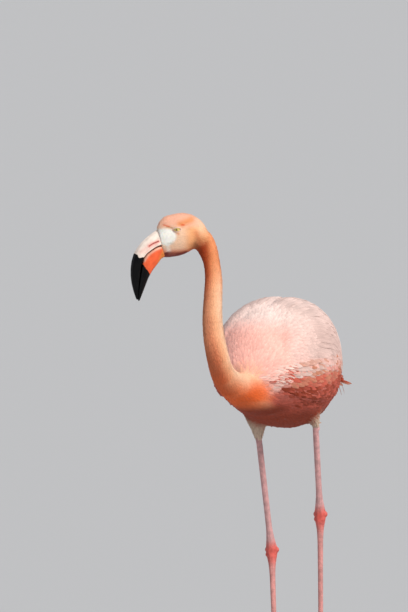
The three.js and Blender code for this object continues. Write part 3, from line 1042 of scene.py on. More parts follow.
# The same for feathers that stand clear of the skin
def straightOn(roots, ways, steps):
    reach = np.vstack((np.zeros(steps.shape[1]), np.cumsum(steps, 0))).T[..., None]
    rows = reach.shape[1]
    places = roots["place"][:, None] + ways[:, None] * reach
    return places, np.repeat(roots["normal"][:, None], rows, 1), np.repeat(ways[:, None], rows, 1)


# Outlines of vanes, from root to tip: share of the length, half width to the left and to the right.
vaneForms = {
    "plush": [[(0.3, 0.85, 0.85), (0.66, 1, 0.95), (0.88, 0.55, 0.6)]],
    "down": [
        [(0.2, 0.7, 0.7), (0.5, 1, 0.95), (0.75, 0.8, 0.9), (0.92, 0.35, 0.45)],
        [(0.22, 0.75, 0.7), (0.48, 0.9, 1), (0.78, 0.95, 0.7), (0.93, 0.5, 0.3)],
    ],
    "contour": [
        [(0.15, 0.55, 0.5), (0.4, 0.95, 0.95), (0.66, 1, 0.97), (0.85, 0.78, 0.72), (0.96, 0.34, 0.4)],
        [(0.15, 0.5, 0.55), (0.42, 0.92, 1), (0.68, 0.97, 0.9), (0.82, 0.86, 0.74), (0.95, 0.42, 0.3)],
        [(0.16, 0.5, 0.5), (0.44, 1, 0.92), (0.7, 0.9, 1), (0.87, 0.66, 0.84), (0.95, 0.4, 0.5)],
    ],
    "ragged": [
        [(0.15, 0.5, 0.5), (0.4, 0.92, 0.95), (0.6, 1, 0.98), (0.71, 0.8, 0.88), (0.77, 0.84, 0.68),
         (0.86, 0.54, 0.64), (0.91, 0.5, 0.36), (0.96, 0.22, 0.26)],
        [(0.15, 0.5, 0.5), (0.38, 0.95, 0.92), (0.58, 0.98, 1), (0.67, 0.88, 0.8), (0.75, 0.68, 0.82),
         (0.84, 0.66, 0.5), (0.91, 0.34, 0.46), (0.96, 0.26, 0.2)],
    ],
    "tail": [
        [(0.1, 0.5, 0.5), (0.35, 0.85, 0.85), (0.6, 1, 0.98), (0.8, 0.9, 0.92), (0.92, 0.6, 0.64),
         (0.98, 0.3, 0.3)],
    ],
    "long": [
        [(0.05, 0.4, 0.4), (0.15, 0.75, 0.75), (0.3, 0.96, 0.96), (0.46, 1, 1), (0.6, 0.94, 0.96),
         (0.73, 0.84, 0.82), (0.84, 0.66, 0.62), (0.92, 0.42, 0.4), (0.975, 0.2, 0.22)],
        [(0.05, 0.4, 0.4), (0.15, 0.78, 0.72), (0.3, 1, 0.95), (0.46, 0.97, 1), (0.6, 0.97, 0.86),
         (0.7, 0.78, 0.88), (0.82, 0.7, 0.6), (0.91, 0.38, 0.46), (0.97, 0.24, 0.18)],
    ],
}


# Triangles of one closed vane: its root point, left, ridge and right of each row, its tip point
def vaneFaces(rows):
    faces = [(0, 3, 2), (0, 2, 1), (0, 1, 3)]
    for row in range(rows - 1):
        left, ridge, right = (1 + 3 * row + i for i in range(3))
        faces += [(ridge, right, right + 3), (ridge, right + 3, ridge + 3)]
        faces += [(left, ridge, ridge + 3), (left, ridge + 3, left + 3)]
        faces += [(right, left, left + 3), (right, left + 3, right + 3)]
    left, ridge, right = (1 + 3 * (rows - 1) + i for i in range(3))
    tip = 1 + 3 * rows
    return np.array(faces + [(ridge, right, tip), (left, ridge, tip), (right, left, tip)])


# Each point of a vane: its share of the length, and its place across from 0 to 1
def vaneMap(rows):
    middles = np.full(len(rows), 0.5)
    along = np.concatenate(([0], np.repeat(rows[:, 0], 3), [1]))
    side = np.stack((0.5 - rows[:, 1] / 2, middles, 0.5 + rows[:, 2] / 2), 1).ravel()
    return np.stack((along, np.concatenate(([0.5], side, [0.5]))), 1)


variety = {"size": (0.85, 1.15), "width": (0.9, 1.1), "lift": (0.75, 1.25)}  # shares of each style's own
bakePatch = 0.003  # width of a vane's patch on the bake map


# Arrays of closed vanes that rise from their roots and lie along the coat
def growVanes(roots, style, random, colours=None):
    forms = vaneForms[style["form"]]
    kind = random.integers(len(forms), size=len(roots["place"]))
    batches = []
    for number, form in enumerate(forms):
        own = choose(roots, kind == number)
        count = len(own["place"])
        if not count:
            continue
        rows = np.array(form)
        size = random.uniform(*variety["size"], count) * own.get("size", np.ones(count))
        length = style["length"] * size * millimetre
        halfWidth = style["width"] / 2 * size * random.uniform(*variety["width"], count) * millimetre
        swing = np.radians(random.normal(0, style.get("swing", 8), count))[:, None]
        side = np.cross(own["normal"], own["way"])
        way = unit(own["way"] * np.cos(swing) + side * np.sin(swing))
        along = np.concatenate(([0], rows[:, 0], [1]))
        steps = np.diff(along)[:, None] * length
        if style.get("free"):
            spots, normals, ways = straightOn(own, way, steps)
        else:
            spots, normals, ways = followCoat(
                own, way, steps, style.get("keepWay", 0.6), style.get("leaves", False)
            )
        sides = np.cross(normals, ways)
        lift = style["lift"] * random.uniform(*variety["lift"], count) * millimetre
        sink = style.get("sink", 0.5) * millimetre
        rise = lift[:, None] * along ** style.get("rise", 1.0) - sink
        rise = rise + style.get("base", 0) * millimetre * ramp(along, 0, 0.25)
        rise = rise + (random.random(count) ** 4 * style.get("stray", 0.6) * millimetre)[:, None] * along**3
        spots = spots + normals * rise[..., None]
        spots[:, 1:, 2] -= style.get("sag", 0) * millimetre * along[1:] ** 2
        tilt = np.radians(random.normal(0, style.get("roll", 4), count))[:, None, None]
        middle = spots[:, 1:-1]
        arch = style.get("arch", 0.16)
        thick = style.get("thick", 0.12) * millimetre
        ups, outs = normals[:, 1:-1], sides[:, 1:-1]
        outs = outs * np.cos(tilt) + ups * np.sin(tilt)
        left = halfWidth[:, None, None] * rows[:, 1][:, None]
        right = halfWidth[:, None, None] * rows[:, 2][:, None]
        triples = np.stack(
            (
                middle + outs * left - ups * left * arch,
                middle + ups * thick,
                middle - outs * right - ups * right * arch,
            ),
            2,
        ).reshape(count, -1, 3)
        points = np.concatenate((spots[:, :1], triples, spots[:, -1:]), 1)
        faces = vaneFaces(len(rows))
        vane = vaneMap(rows)
        each = points.shape[1]
        if colours is not None:
            tint = colours(own, random)
        elif style.get("markEach"):
            many = np.repeat(own["weights"], each, 0)
            tint = coatColours(points.reshape(-1, 3), many).reshape(count, each, 3)
        else:
            tint = coatColours(spots[:, len(along) // 2], own["weights"])
        if tint.ndim == 2:
            tint = np.repeat(tint[:, None], each, 1)
        batches.append(
            {
                "points": points.reshape(-1, 3),
                "faces": (faces + np.arange(count)[:, None, None] * each).reshape(-1, 3),
                "vane": np.tile(vane, (count, 1)),
                "bake": (own["map"][:, None] + (vane - 0.5) * bakePatch).reshape(-1, 2),
                "tint": tint.reshape(-1, 3),
                "vary": np.repeat(random.random(count), each),
            }
        )
    return batches


# One piece from arrays of vanes
def makeFeathers(title, batches, finish):
    offsets = np.cumsum([0] + [len(batch["points"]) for batch in batches])
    faces = np.concatenate([batch["faces"] + offset for batch, offset in zip(batches, offsets)])
    joined = {
        name: np.concatenate([batch[name] for batch in batches])
        for name in ("points", "vane", "bake", "tint", "vary")
    }
    mesh = bpy.data.meshes.new(title)
    mesh.vertices.add(len(joined["points"]))
    mesh.vertices.foreach_set("co", joined["points"].astype(np.float32).ravel())
    mesh.loops.add(faces.size)
    mesh.loops.foreach_set("vertex_index", faces.astype(np.int32).ravel())
    mesh.polygons.add(len(faces))
    mesh.polygons.foreach_set("loop_start", np.arange(0, faces.size, 3, dtype=np.int32))
    mesh.update(calc_edges=True)
    setTint(mesh, joined["tint"])
    setValue(mesh, "vary", joined["vary"])
    for name, layer in (("vane", "vane"), ("OFBake", "bake")):
        corners = joined[layer][faces.ravel()].astype(np.float32)
        mesh.uv_layers.new(name=name).data.foreach_set("uv", corners.ravel())
    mesh.uv_layers["vane"].active_render = True
    mesh.set_sharp_from_angle(angle=math.radians(75))
    mesh.materials.append(finish)
    piece = bpy.data.objects.new(title, mesh)
    bpy.context.scene.collection.objects.link(piece)
    print(title, len(faces), "triangles")
    return piece


# the coat, piece by piece
def shareOf(part):
    return coat["weights"][:, parts[part]]


coatPlaces = fromFloor(coat["points"])
feathered = 1 - coat["bare"]
coatStyles = {
    "face": {"form": "plush", "length": 4.4, "width": 1.0, "lift": 0.45, "sink": 0.2, "thick": 0.04,
             "swing": 8, "stray": 0.2, "markEach": True, "spacing": 0.86, "seed": 11},
    "neck": {"form": "down", "length": 10.5, "width": 1.9, "lift": 0.85, "sink": 0.25, "thick": 0.05,
             "swing": 6, "stray": 0.5, "markEach": True, "spacing": 1.6, "seed": 12},
    "contour": {"form": "contour", "length": 19.0, "width": 6.4, "lift": 1.2, "sink": 0.4, "swing": 8,
                "thick": 0.08, "spacing": 3.4, "seed": 13, "stray": 0.5, "arch": 0.12},
    "thigh": {"form": "down", "length": 11.0, "width": 3.2, "lift": 1.9, "sink": 0.2, "swing": 9,
                  "spacing": 2.1, "seed": 14, "stray": 0.7, "markEach": True, "keepWay": 0.8, "leaves": True},
    "scapular": {"form": "long", "length": 60.0, "width": 9.5, "lift": 1.4, "sink": 0.2, "base": 0.8,
                 "rise": 0.7, "swing": 5, "spacing": 7.0, "seed": 15, "stray": 0.5, "roll": 2,
                 "keepWay": 0.5, "arch": 0.12},
}


# Face feathers get shorter towards the bill and the eyes
def sizedByPlace(roots):
    ahead, _, _ = fromSkull(roots["place"])
    near = np.maximum(ramp(ahead, 4, 34), 1 - ramp(eyeGap(roots["place"]), 1, 7))
    roots["size"] = 1.15 - 0.4 * near
    return roots


def growBaseCoat():
    finishes = {
        "face": featherFinish("faceFeather", 5.0, 0.16),
        "neck": featherFinish("neckFeather", 8.0, 0.2),
        "contour": featherFinish("bodyFeather", 17.0, 0.16),
        "thigh": featherFinish("thighFeather", 8.0, 0.16),
        "scapular": featherFinish("scapularFeather", 52.0, 0.16),
    }
    x, y, z = np.abs(coatPlaces.T)[0], coatPlaces[:, 1], coatPlaces[:, 2]
    above, _ = cuffGap(coat["points"])
    ahead, _, _ = fromSkull(coat["points"])
    underBill = ramp(coat["normals"] @ heading, 0.5, 0.75) * ramp(ahead, 19, 23)
    atCap = ramp(-coat["normals"][:, 2], 0.6, 0.8) * (1 - ramp(above, 6, 14))
    onBack = ramp(y, -110, -60) * (1 - ramp(y, 150, 190)) * ramp(z - 628 - 0.1 * y, -16, 6) * ramp(x, 3, 12)
    chances = {
        "face": shareOf("head") * feathered * (1 - underBill),
        "neck": shareOf("neck"),
        "contour": shareOf("trunk") + shareOf("wing") + shareOf("tail") * (1 - ramp(y, 226, 242)),
        "thigh": shareOf("thigh") * (1 - atCap),
        "scapular": onBack,
    }
    pieces = []
    for name, style in coatStyles.items():
        random = np.random.default_rng(style["seed"])
        roots = scatter(style["spacing"], np.clip(chances[name] * 1.6 - 0.2, 0, 1), style["seed"])
        if name == "face":
            roots = sizedByPlace(roots)
        spots = fromFloor(roots["place"])
        areas = {name + "Feathers": np.ones(len(spots), bool)}
        if name == "neck":
            areas = {"neckUpperFeathers": spots[:, 2] > 655, "neckLowerFeathers": spots[:, 2] <= 655}
        if name == "contour":
            front = spots[:, 1] < -45
            top = spots[:, 2] > 618
            areas = {
                "breastFeathers": front,
                "backFeathers": ~front & top,
                "bellyFeathers": ~front & ~top,
            }
        for title, wanted in areas.items():
            batches = growVanes(choose(roots, wanted), style, random)
            pieces.append(makeFeathers(title, batches, finishes[name]))
    return pieces


coatPieces = growBaseCoat()
print("base coat")


# Roots along a line round the body: from one place and turn from the back to another
def rowOfRoots(row, side, random):
    roots = []
    for step in np.linspace(0, 1, row["count"]):
        y = row["y"][0] + (row["y"][1] - row["y"][0]) * step + random.normal(0, row.get("loose", 2))
        turn = row["turn"][0] + (row["turn"][1] - row["turn"][0]) * step + random.normal(0, 1.2)
        root = aroundBody(y, turn, side)
        if root is not None:
            roots.append(root)
    roots = joinRoots(roots)
    fall = math.radians(row["fall"])
    aim = np.array((0, math.cos(fall), -math.sin(fall)))
    way = roots["way"] * (1 - row.get("aimed", 0.7)) + aim * row.get("aimed", 0.7)
    roots["way"] = unit(way - (way * roots["normal"]).sum(1, keepdims=True) * roots["normal"])
    return roots


tintJitter = {"wing": 0.34, "tail": 0.17}


# Colours between two tints, a different mix for each feather
def mixedTints(first, second, jitter):
    def colours(roots, random):
        mix = np.clip(random.normal(0.5, jitter, len(roots["place"])), 0, 1)[:, None]
        return tints[first] * (1 - mix) + tints[second] * mix

    return colours


wingRows = {
    "covertFeathers": {
        "style": {"form": "ragged", "length": 25, "width": 7.4, "lift": 1.7, "sink": 0.3, "base": 0.5,
                  "swing": 8, "keepWay": 0.6, "stray": 1.2, "arch": 0.12},
        "rows": [
            # the lowest rows take the belly tint, with its painted shade
            {"y": (-158, 224), "turn": (121, 111), "count": 60, "fall": 4, "tints": ("shadedBelly", "flank")},
            {"y": (-158, 226), "turn": (115, 107), "count": 60, "fall": 5, "tints": ("shadedBelly", "flank")},
            {"y": (-156, 226), "turn": (109, 102), "count": 60, "fall": 6, "tints": ("flank", "shadedBelly")},
            {"y": (-154, 224), "turn": (103, 97), "count": 60, "fall": 8, "tints": ("flank", "salmon")},
            {"y": (-151, 222), "turn": (97, 92), "count": 58, "fall": 9, "tints": ("salmon", "flank")},
            {"y": (-152, 218), "turn": (91, 87), "count": 58, "fall": 11, "tints": ("salmon", "scapular")},
            {"y": (-151, 214), "turn": (85, 82), "count": 56, "fall": 13, "tints": ("salmon", "scapular")},
            {"y": (-148, 210), "turn": (79, 77), "count": 56, "fall": 15, "tints": ("scapular", "salmon")},
        ],
        "barbs": 22.0,
    },
    "tertialFeathers": {
        "style": {"form": "long", "length": 92, "width": 10.5, "lift": 1.3, "sink": 0, "base": 1.8,
                  "rise": 0.7, "swing": 4, "keepWay": 0.5, "stray": 0.6, "roll": 2, "arch": 0.14},
        "rows": [
            {"y": (56, 186), "turn": (90, 70), "count": 19, "fall": 14, "tints": ("scapular", "rump")},
            {"y": (62, 190), "turn": (78, 58), "count": 19, "fall": 16, "tints": ("scapular", "rump")},
            {"y": (70, 194), "turn": (64, 45), "count": 18, "fall": 18, "tints": ("scapular", "back")},
            {"y": (78, 196), "turn": (50, 33), "count": 17, "fall": 18, "tints": ("scapular", "back")},
            {"y": (86, 198), "turn": (35, 20), "count": 15, "fall": 18, "tints": ("back", "scapular")},
            {"y": (80, 200), "turn": (18, 8), "count": 13, "fall": 16, "tints": ("back", "scapular")},
            {"y": (70, 200), "turn": (3, 2), "count": 12, "fall": 14, "tints": ("back", "scapular")},
        ],
        "barbs": 80.0,
    },
    "flightFeathers": {
        "style": {"form": "long", "length": 78, "width": 7, "lift": 1.0, "sink": 0, "base": 1.0,
                  "rise": 0.5, "swing": 2, "keepWay": 0.6, "stray": 0.2, "roll": 2},
        "rows": [
            {"y": (178, 196), "turn": (110, 98), "count": 4, "fall": 3, "tints": ("black", "black"),
             "aimed": 0.95, "loose": 1},
        ],
        "barbs": 70.0,
    },
    "wristTufts": {
        "style": {"form": "down", "length": 15, "width": 3.4, "lift": 2.1, "sink": 0.3, "base": 0.3,
                  "swing": 16, "keepWay": 0.6, "stray": 0.8},
        "rows": [
            {"y": (-164, -192), "turn": (74, 104), "count": 26, "fall": 46, "tints": ("wingEdge", "breast")},
            {"y": (-158, -186), "turn": (76, 106), "count": 26, "fall": 42, "tints": ("wingEdge", "breast")},
            {"y": (-152, -180), "turn": (79, 109), "count": 26, "fall": 36, "tints": ("wingEdge", "flank")},
            {"y": (-146, -172), "turn": (82, 112), "count": 26, "fall": 30, "tints": ("flank", "wingEdge")},
        ],
        "barbs": 9.0,
    },
    "flankFeathers": {
        "style": {"form": "ragged", "length": 20, "width": 5.6, "lift": 1.7, "sink": 0.3, "base": 0.3,
                  "swing": 11, "keepWay": 0.6, "stray": 1.0, "arch": 0.12},
        "rows": [
            # these rows take the belly tint, with its painted shade
            {"y": (-124, 216), "turn": (127, 117), "count": 74, "fall": 2, "tints": ("flank", "shadedBelly"),
             "loose": 4},
            {"y": (-118, 210), "turn": (133, 123), "count": 72, "fall": 0, "tints": ("shadedBelly", "flank"),
             "loose": 4},
        ],
        "barbs": 14.0,
    },
}


def growWingFeathers():
    pieces = []
    for number, (title, made) in enumerate(wingRows.items()):
        random = np.random.default_rng(40 + number)
        gloss = featherFinish(title[:-1] + "Vane", made["barbs"], 0.14)
        batches = []
        for side in (1, -1):
            for row in made["rows"]:
                roots = rowOfRoots(row, side, random)
                colours = mixedTints(*row["tints"], tintJitter["wing"])
                batches += growVanes(roots, made["style"], random, colours)
        pieces.append(makeFeathers(title, batches, gloss))
    return pieces


coatPieces += growWingFeathers()


tailFans = [
    {"root": (0, 232, 574), "count": 11, "length": 50, "width": 11, "spread": 15, "fall": 15},
    {"root": (0, 228, 579), "count": 10, "length": 49, "width": 11, "spread": 12, "fall": 14},
    {"root": (0, 224, 584), "count": 10, "length": 46, "width": 11, "spread": 9, "fall": 15},
    {"root": (0, 216, 589), "count": 8, "length": 44, "width": 11, "spread": 7, "fall": 19},
]
tailWisps = {"root": (10, 240, 570), "count": 4, "length": 27, "width": 1.1, "spread": 9, "fall": 52}


# Roots of feathers that fan out from one place behind the bird
def fanRoots(fan, random):
    places, ways = [], []
    for step in np.linspace(-1, 1, fan["count"]):
        turn = math.radians(step * fan["spread"] + random.normal(0, 1))
        fall = math.radians(fan["fall"] + random.normal(0, 1.5))
        aim = (math.sin(turn) * math.cos(fall), math.cos(turn) * math.cos(fall), -math.sin(fall))
        x, y, z = fan["root"]
        places.append(place(x + step * 8, y + random.normal(0, 2), z + random.normal(0, 0.7) - abs(step) * 3))
        ways.append(aim)
    places, ways = np.array(places), np.array(ways)
    nearest = [coat["surface"].find_nearest(Vector(spot))[2] for spot in places]
    roots = rootsAt(np.array(nearest), np.full((len(places), 3), 1 / 3))
    side = unit(np.cross(ways, upward))
    return roots | {"place": places, "way": ways, "normal": unit(np.cross(side, ways))}


def growTail():
    random = np.random.default_rng(60)
    style = {"form": "tail", "free": True, "lift": 1.2, "swing": 4, "stray": 0.6, "sag": 3.5, "thick": 0.16}
    batches = []
    for fan in [*tailFans, tailWisps]:
        own = style | {"length": fan["length"], "width": fan["width"]}
        between = ("wingEdge", "rump") if fan is tailWisps else ("tail", "tailTip")
        colours = mixedTints(*between, tintJitter["tail"])
        batches += growVanes(fanRoots(fan, random), own, random, colours)
    return makeFeathers("tailFeathers", batches, featherFinish("tailVane", 24.0, 0.16))


coatPieces.append(growTail())
print("wings and tail")


# eyes
def eyeFinish():
    material, tree, shader = newMaterial("eye", Roughness=0.08, Coat_Weight=1.0, Coat_Roughness=0.02)
    gaze = readAttribute(tree, "gaze")["Fac"]
    turn = readAttribute(tree, "turn")["Fac"]
    seed = addNode(tree, "ShaderNodeCombineXYZ", {"X": maths(tree, "MULTIPLY", turn, 14.0), "Y": gaze})
    fibres = addNoise(tree, seed.outputs[0], 1.6, 3.0)
    ring = addNode(tree, "ShaderNodeValToRGB", {"Fac": maths(tree, "DIVIDE", gaze, 90.0)})
    stops = ring.color_ramp
    colours = [
        (0.0, (12, 9, 7)), (0.094, (14, 10, 7)), (0.101, (120, 92, 38)), (0.16, (208, 182, 92)),
        (0.42, (226, 206, 122)), (0.62, (206, 178, 94)), (0.71, (112, 78, 42)), (0.79, (60, 36, 24)),
    ]
    while len(stops.elements) < len(colours):
        stops.elements.new(0.5)
    for element, (position, colour) in zip(stops.elements, colours):
        element.position = position
        element.color = (*linear(colour), 1)
    tone = spreadRange(tree, fibres, 0.3, 0.7, 0.7, 1.14)
    tree.links.new(scaleColour(tree, ring.outputs[0], tone), shader["Base Color"])
    return material


def makeEye(name, side, finish):
    middle = headPlace(eyePlace["ahead"], eyePlace["up"], side * eyeShape["out"])
    deselect()
    bpy.ops.mesh.primitive_uv_sphere_add(
        segments=48, ring_count=36, radius=eyeShape["radius"] * millimetre, location=middle
    )
    eye = bpy.context.object
    eye.name = name
    gazeWay = unit(across * side + heading * 0.2 - upward * 0.04)
    turn = Vector(gazeWay).to_track_quat("Z", "Y").to_matrix().to_4x4()
    eye.matrix_world = Matrix.Translation(middle) @ turn
    applyPlace()
    away = pointsOf(eye.data) - middle
    angle = np.degrees(np.arccos(np.clip(unit(away) @ gazeWay, -1, 1)))
    bulge = 1 + 0.05 * (1 - ramp(angle, 10, 44))  # the clear front of the eye stands out a little
    setPoints(eye.data, middle + away * bulge[:, None])
    level = np.cross(gazeWay, upward)
    setValue(eye.data, "gaze", angle)
    setValue(eye.data, "turn", np.arctan2(away @ level, away @ np.cross(level, gazeWay)))
    eye.data.materials.append(finish)
    shadeSmooth(eye)
    return eye


iris = eyeFinish()
eyes = {"eye_left": makeEye("eyeLeft", 1, iris), "eye_right": makeEye("eyeRight", -1, iris)}
print("eyes")


# bill
billShape = {
    "voxel": 0.75,
    "rounds": {"upper": 24, "lower": 14},
    "swell": 0.35,
    "base": (29.5, 36),  # where it runs back into the head
    "rootLength": 6,
}
# Lines along the side of the bill, ahead and up of the skull's middle
billGrooves = {
    "nostril": {
        "half": "upper",
        "line": [(42, -14.6), (50, -17.6), (57.5, -22.2)],
        "width": 0.8,
        "depth": 1.5,
    },
    "upperEdge": {
        "half": "upper",
        "line": [(44, -20), (53, -25.2), (61, -31), (67, -40)],
        "width": 1.0,
        "depth": 0.35,
    },
    "lowerEdge": {
        "half": "lower",
        "line": [(40, -27), (49, -33.5), (56, -43), (62, -56), (66, -74)],
        "width": 1.3,
        "depth": 0.45,
    },
    "jawLine": {
        "half": "lower",
        "line": [(36, -33), (44, -42), (51, -54), (57, -68)],
        "width": 1.6,
        "depth": 0.4,
    },
}
nostril = billGrooves["nostril"]["line"]
gapeLine = [(34, -21), (44.5, -24), (52.5, -29), (60, -34.5), (66, -42), (69, -53)]
paleEdge = [(38, -24.5), (46, -27.5), (54, -32), (61, -38), (66, -46)]
fleshLines = [  # pink on the upper half: line, width and strength
    (nostril, 3.0, 0.9),
    ([(45, -20), (54, -25), (64, -33)], 1.5, 0.4),
    ([(60, -24), (71, -32)], 3.5, 0.3),
]
billTints = linearTints(
    {
        "cream": (249, 231, 217),
        "pink": (232, 132, 122),
        # dark of the nostril slit and the gape, painted shade
        "slitShade": (120, 50, 46),
        "orange": (240, 104, 62),
        "deep": (214, 70, 44),
        "pale": (246, 196, 170),
        "rear": (232, 150, 74),
    }
)


# 1 on a broken line along the bill, 0 well away from it
def nearLine(ahead, up, line, width):
    nearest = np.zeros(len(ahead))
    for start, end in zip(line[:-1], line[1:]):
        nearest = np.maximum(nearest, nearStroke(ahead, up, start, end, width))
    return nearest


def nearNostril(points):
    ahead, up, _ = fromSkull(points)
    return nearLine(ahead, up, nostril, 3.0)


# Millimetres past the edge of the black tip
def blackness(ahead, up, half):
    if half == "upper":
        along = (ahead - 81) * 0.924 + (up + 34) * 0.383
        return (ahead - 81) * 0.383 - (up + 34) * 0.924 - 4 * bump(along + 9.6, 3.4)
    return (ahead - 70) * 0.805 - (up + 48) * 0.593


def billFinish():
    material, tree, shader = newMaterial("billHorn", Roughness=0.36, Specular_IOR_Level=0.16)
    spot = ownPlace(tree)
    tint = readAttribute(tree, "tint")["Color"]
    grain = addNode(tree, "ShaderNodeMapping", {"Vector": spot, "Scale": (500.0, 500.0, 120.0)})
    streaks = addNoise(tree, grain.outputs[0], 0.6, 4.0)
    soft = useGroup(tree, "mottle", {"Tint": tint, "Place": spot, "Size": 130.0, "Amount": 0.09})
    edge = maths(tree, "SUBTRACT", addNoise(tree, spot, 420.0, 3.0), 0.5)
    ragged = maths(tree, "MULTIPLY", edge, 3.0)
    past = maths(tree, "ADD", ragged, readAttribute(tree, "past")["Fac"])
    black = spreadRange(tree, past, -0.5, 0.6)
    scuffs = spreadRange(tree, streaks, 0.4, 0.8)
    dark = mixColours(tree, scuffs, (0.0015, 0.0015, 0.002, 1), (0.005, 0.005, 0.005, 1))
    tree.links.new(mixColours(tree, black, soft["Colour"], dark), shader["Base Color"])
    tree.links.new(spreadRange(tree, black, 0.0, 1.0, 0.42, 0.3), shader["Roughness"])
    addBump(tree, shader, streaks, 0.3, 0.0003)
    return material


def upperBillColours(ahead, up, side):
    flesh = np.max([nearLine(ahead, up, line, width) * strength for line, width, strength in fleshLines], 0)
    flesh = flesh * ramp(np.abs(side), 3, 6)
    colours = billTints["cream"] + (billTints["pink"] - billTints["cream"]) * flesh[:, None]
    # painted shade: a dark line in the nostril slit and along the gape between the two halves
    dark = nearLine(ahead, up, nostril, 0.6) * ramp(np.abs(side), 3, 6) * 0.75
    dark = np.maximum(dark, nearLine(ahead, up, gapeLine, 1.0) * 0.8)
    return colours + (billTints["slitShade"] - colours) * dark[:, None]


def lowerBillColours(ahead, up):
    edge = nearLine(ahead, up, paleEdge, 2.5)[:, None]
    under = ramp(-(up + 1.4 * (ahead - 40)), 44, 58)[:, None] * 0.55
    back = (1 - ramp(ahead + 0.35 * (up + 30), 32, 38))[:, None]
    colours = billTints["orange"] + (billTints["deep"] - billTints["orange"]) * under
    colours = colours + (billTints["pale"] - colours) * edge * 0.85
    colours = colours + (billTints["rear"] - colours) * back * 0.8
    # painted shade along the gape
    return colours + (billTints["slitShade"] - colours) * nearLine(ahead, up, gapeLine, 0.9)[:, None] * 0.7


def makeBill(half, finish):
    bill = copyNodes("bill" + half.title(), ["bill_" + half])
    remesh(bill, billShape["swell"], billShape["voxel"])
    smoothAll(bill, billShape["rounds"][half])
    if half == "upper":
        subdivideWhere(bill, nearNostril(pointsOf(bill.data)) > 0.2)
        smoothWhere(bill, nearNostril(pointsOf(bill.data)) > 0.15, 3)
    points, normals = pointsOf(bill.data), normalsOf(bill.data)
    ahead, up, side = fromSkull(points)
    rooted = 1 - ramp(ahead, *billShape["base"])
    points = points - heading * (rooted * billShape["rootLength"] * millimetre)[:, None]
    outer = ramp(np.abs(side), 2.5, 5.5)
    for groove in billGrooves.values():
        if groove["half"] == half:
            depth = groove["depth"] * nearLine(ahead, up, groove["line"], groove["width"]) * outer
            points = points - normals * depth[:, None] * millimetre
    if half == "upper":
        ridge = bump(side, 2.2) * ramp(normals @ heading + normals[:, 2], 0.5, 1.2) * 0.5
        points = points + normals * ridge[:, None] * millimetre
        colours = upperBillColours(ahead, up, side)
    else:
        colours = lowerBillColours(ahead, up)
    setPoints(bill.data, points)
    setTint(bill.data, colours)
    setValue(bill.data, "past", blackness(ahead, up, half))
    bill.data.materials.append(finish)
    shadeSmooth(bill)
    return bill


horn = billFinish()
billPieces = {"bill_" + half: makeBill(half, horn) for half in ("upper", "lower")}
print("bill")


# legs, feet and claws
legShape = {
    "voxel": 0.85,
    "rounds": 4,
    "swell": 0.35,
    "sleeve": 34,
    "sleeveRadius": 5.2,
    "scute": 3.2,
    "scuteDepth": 0.3,
    "jointRounds": (("ankle", 19, 6), ("foot", 13, 30), ("cuff", 16, 12)),  # joint, reach, rounds
}
clawShape = {"voxel": 0.4, "rounds": 4, "swell": 0.1}
ankleKnobs = [  # places from the ankle's middle and radii
    ((0, 4, -1.5), 7.6), ((7, 2, 1), 5.4), ((-7, 2, 1), 5.4), ((5.6, -2.5, -7), 4.4), ((-5.6, -2.5, -7), 4.4),
]
legJoints = {
    "right": {"cuff": (-41, -6, 491), "ankle": (-39.5, 55, 295.5), "foot": (-15, 15, 12)},
    "left": {"cuff": (52.5, 14, 512), "ankle": (39.5, 75, 356), "foot": (38, 85, 64)},
}


legTints = linearTints(
    {
        "shank": (218, 164, 162),
        "coral": (224, 94, 82),
        "tarsus": (216, 146, 140),
        "toes": (212, 114, 108),
        "web": (202, 98, 94),
    }
)


def jointsOf(side):
    return {name: np.array(spot, float) for name, spot in legJoints[side].items()}


def joinTo(piece, extra):
    extra.select_set(True)
    piece.select_set(True)
    bpy.context.view_layer.objects.active = piece
    bpy.ops.object.join()


# A rod that carries the leg on up inside its thigh feathers
def addSleeve(leg, side):
    low, high = Vector(place(*legJoints[side]["cuff"])), Vector(place(*cuffs[side][0]))
    way = (high - low).normalized()
    length = legShape["sleeve"] * millimetre
    deselect()
    bpy.ops.mesh.primitive_cylinder_add(
        vertices=20,
        radius=legShape["sleeveRadius"] * millimetre,
        depth=length * 1.3,
        location=low + way * length * 0.35,
        rotation=way.to_track_quat("Z", "Y").to_euler(),
    )
    sleeve = bpy.context.object
    applyPlace()
    joinTo(leg, sleeve)


def addKnobs(leg, side):
    for offset, radius in ankleKnobs:
        deselect()
        spot = np.add(legJoints[side]["ankle"], offset)
        bpy.ops.mesh.primitive_uv_sphere_add(
            segments=20, ring_count=14, radius=radius * millimetre, location=place(*spot)
        )
        knob = bpy.context.object
        applyPlace()
        joinTo(leg, knob)


def legFinish():
    material, tree, shader = newMaterial("legSkin", Roughness=0.5, Subsurface_Weight=0.08)
    shader["Subsurface Radius"].default_value = (0.003, 0.001, 0.001)
    spot = ownPlace(tree)
    tint = readAttribute(tree, "tint")["Color"]
    soft = useGroup(tree, "mottle", {"Tint": tint, "Place": spot, "Size": 120.0, "Amount": 0.16})
    plates = useGroup(tree, "scales", {"Tint": soft["Colour"], "Place": spot, "Size": 760.0, "Groove": 0.2})
    tree.links.new(plates["Colour"], shader["Base Color"])
    addBump(tree, shader, plates["Height"], 0.45, 0.0005)
    return material


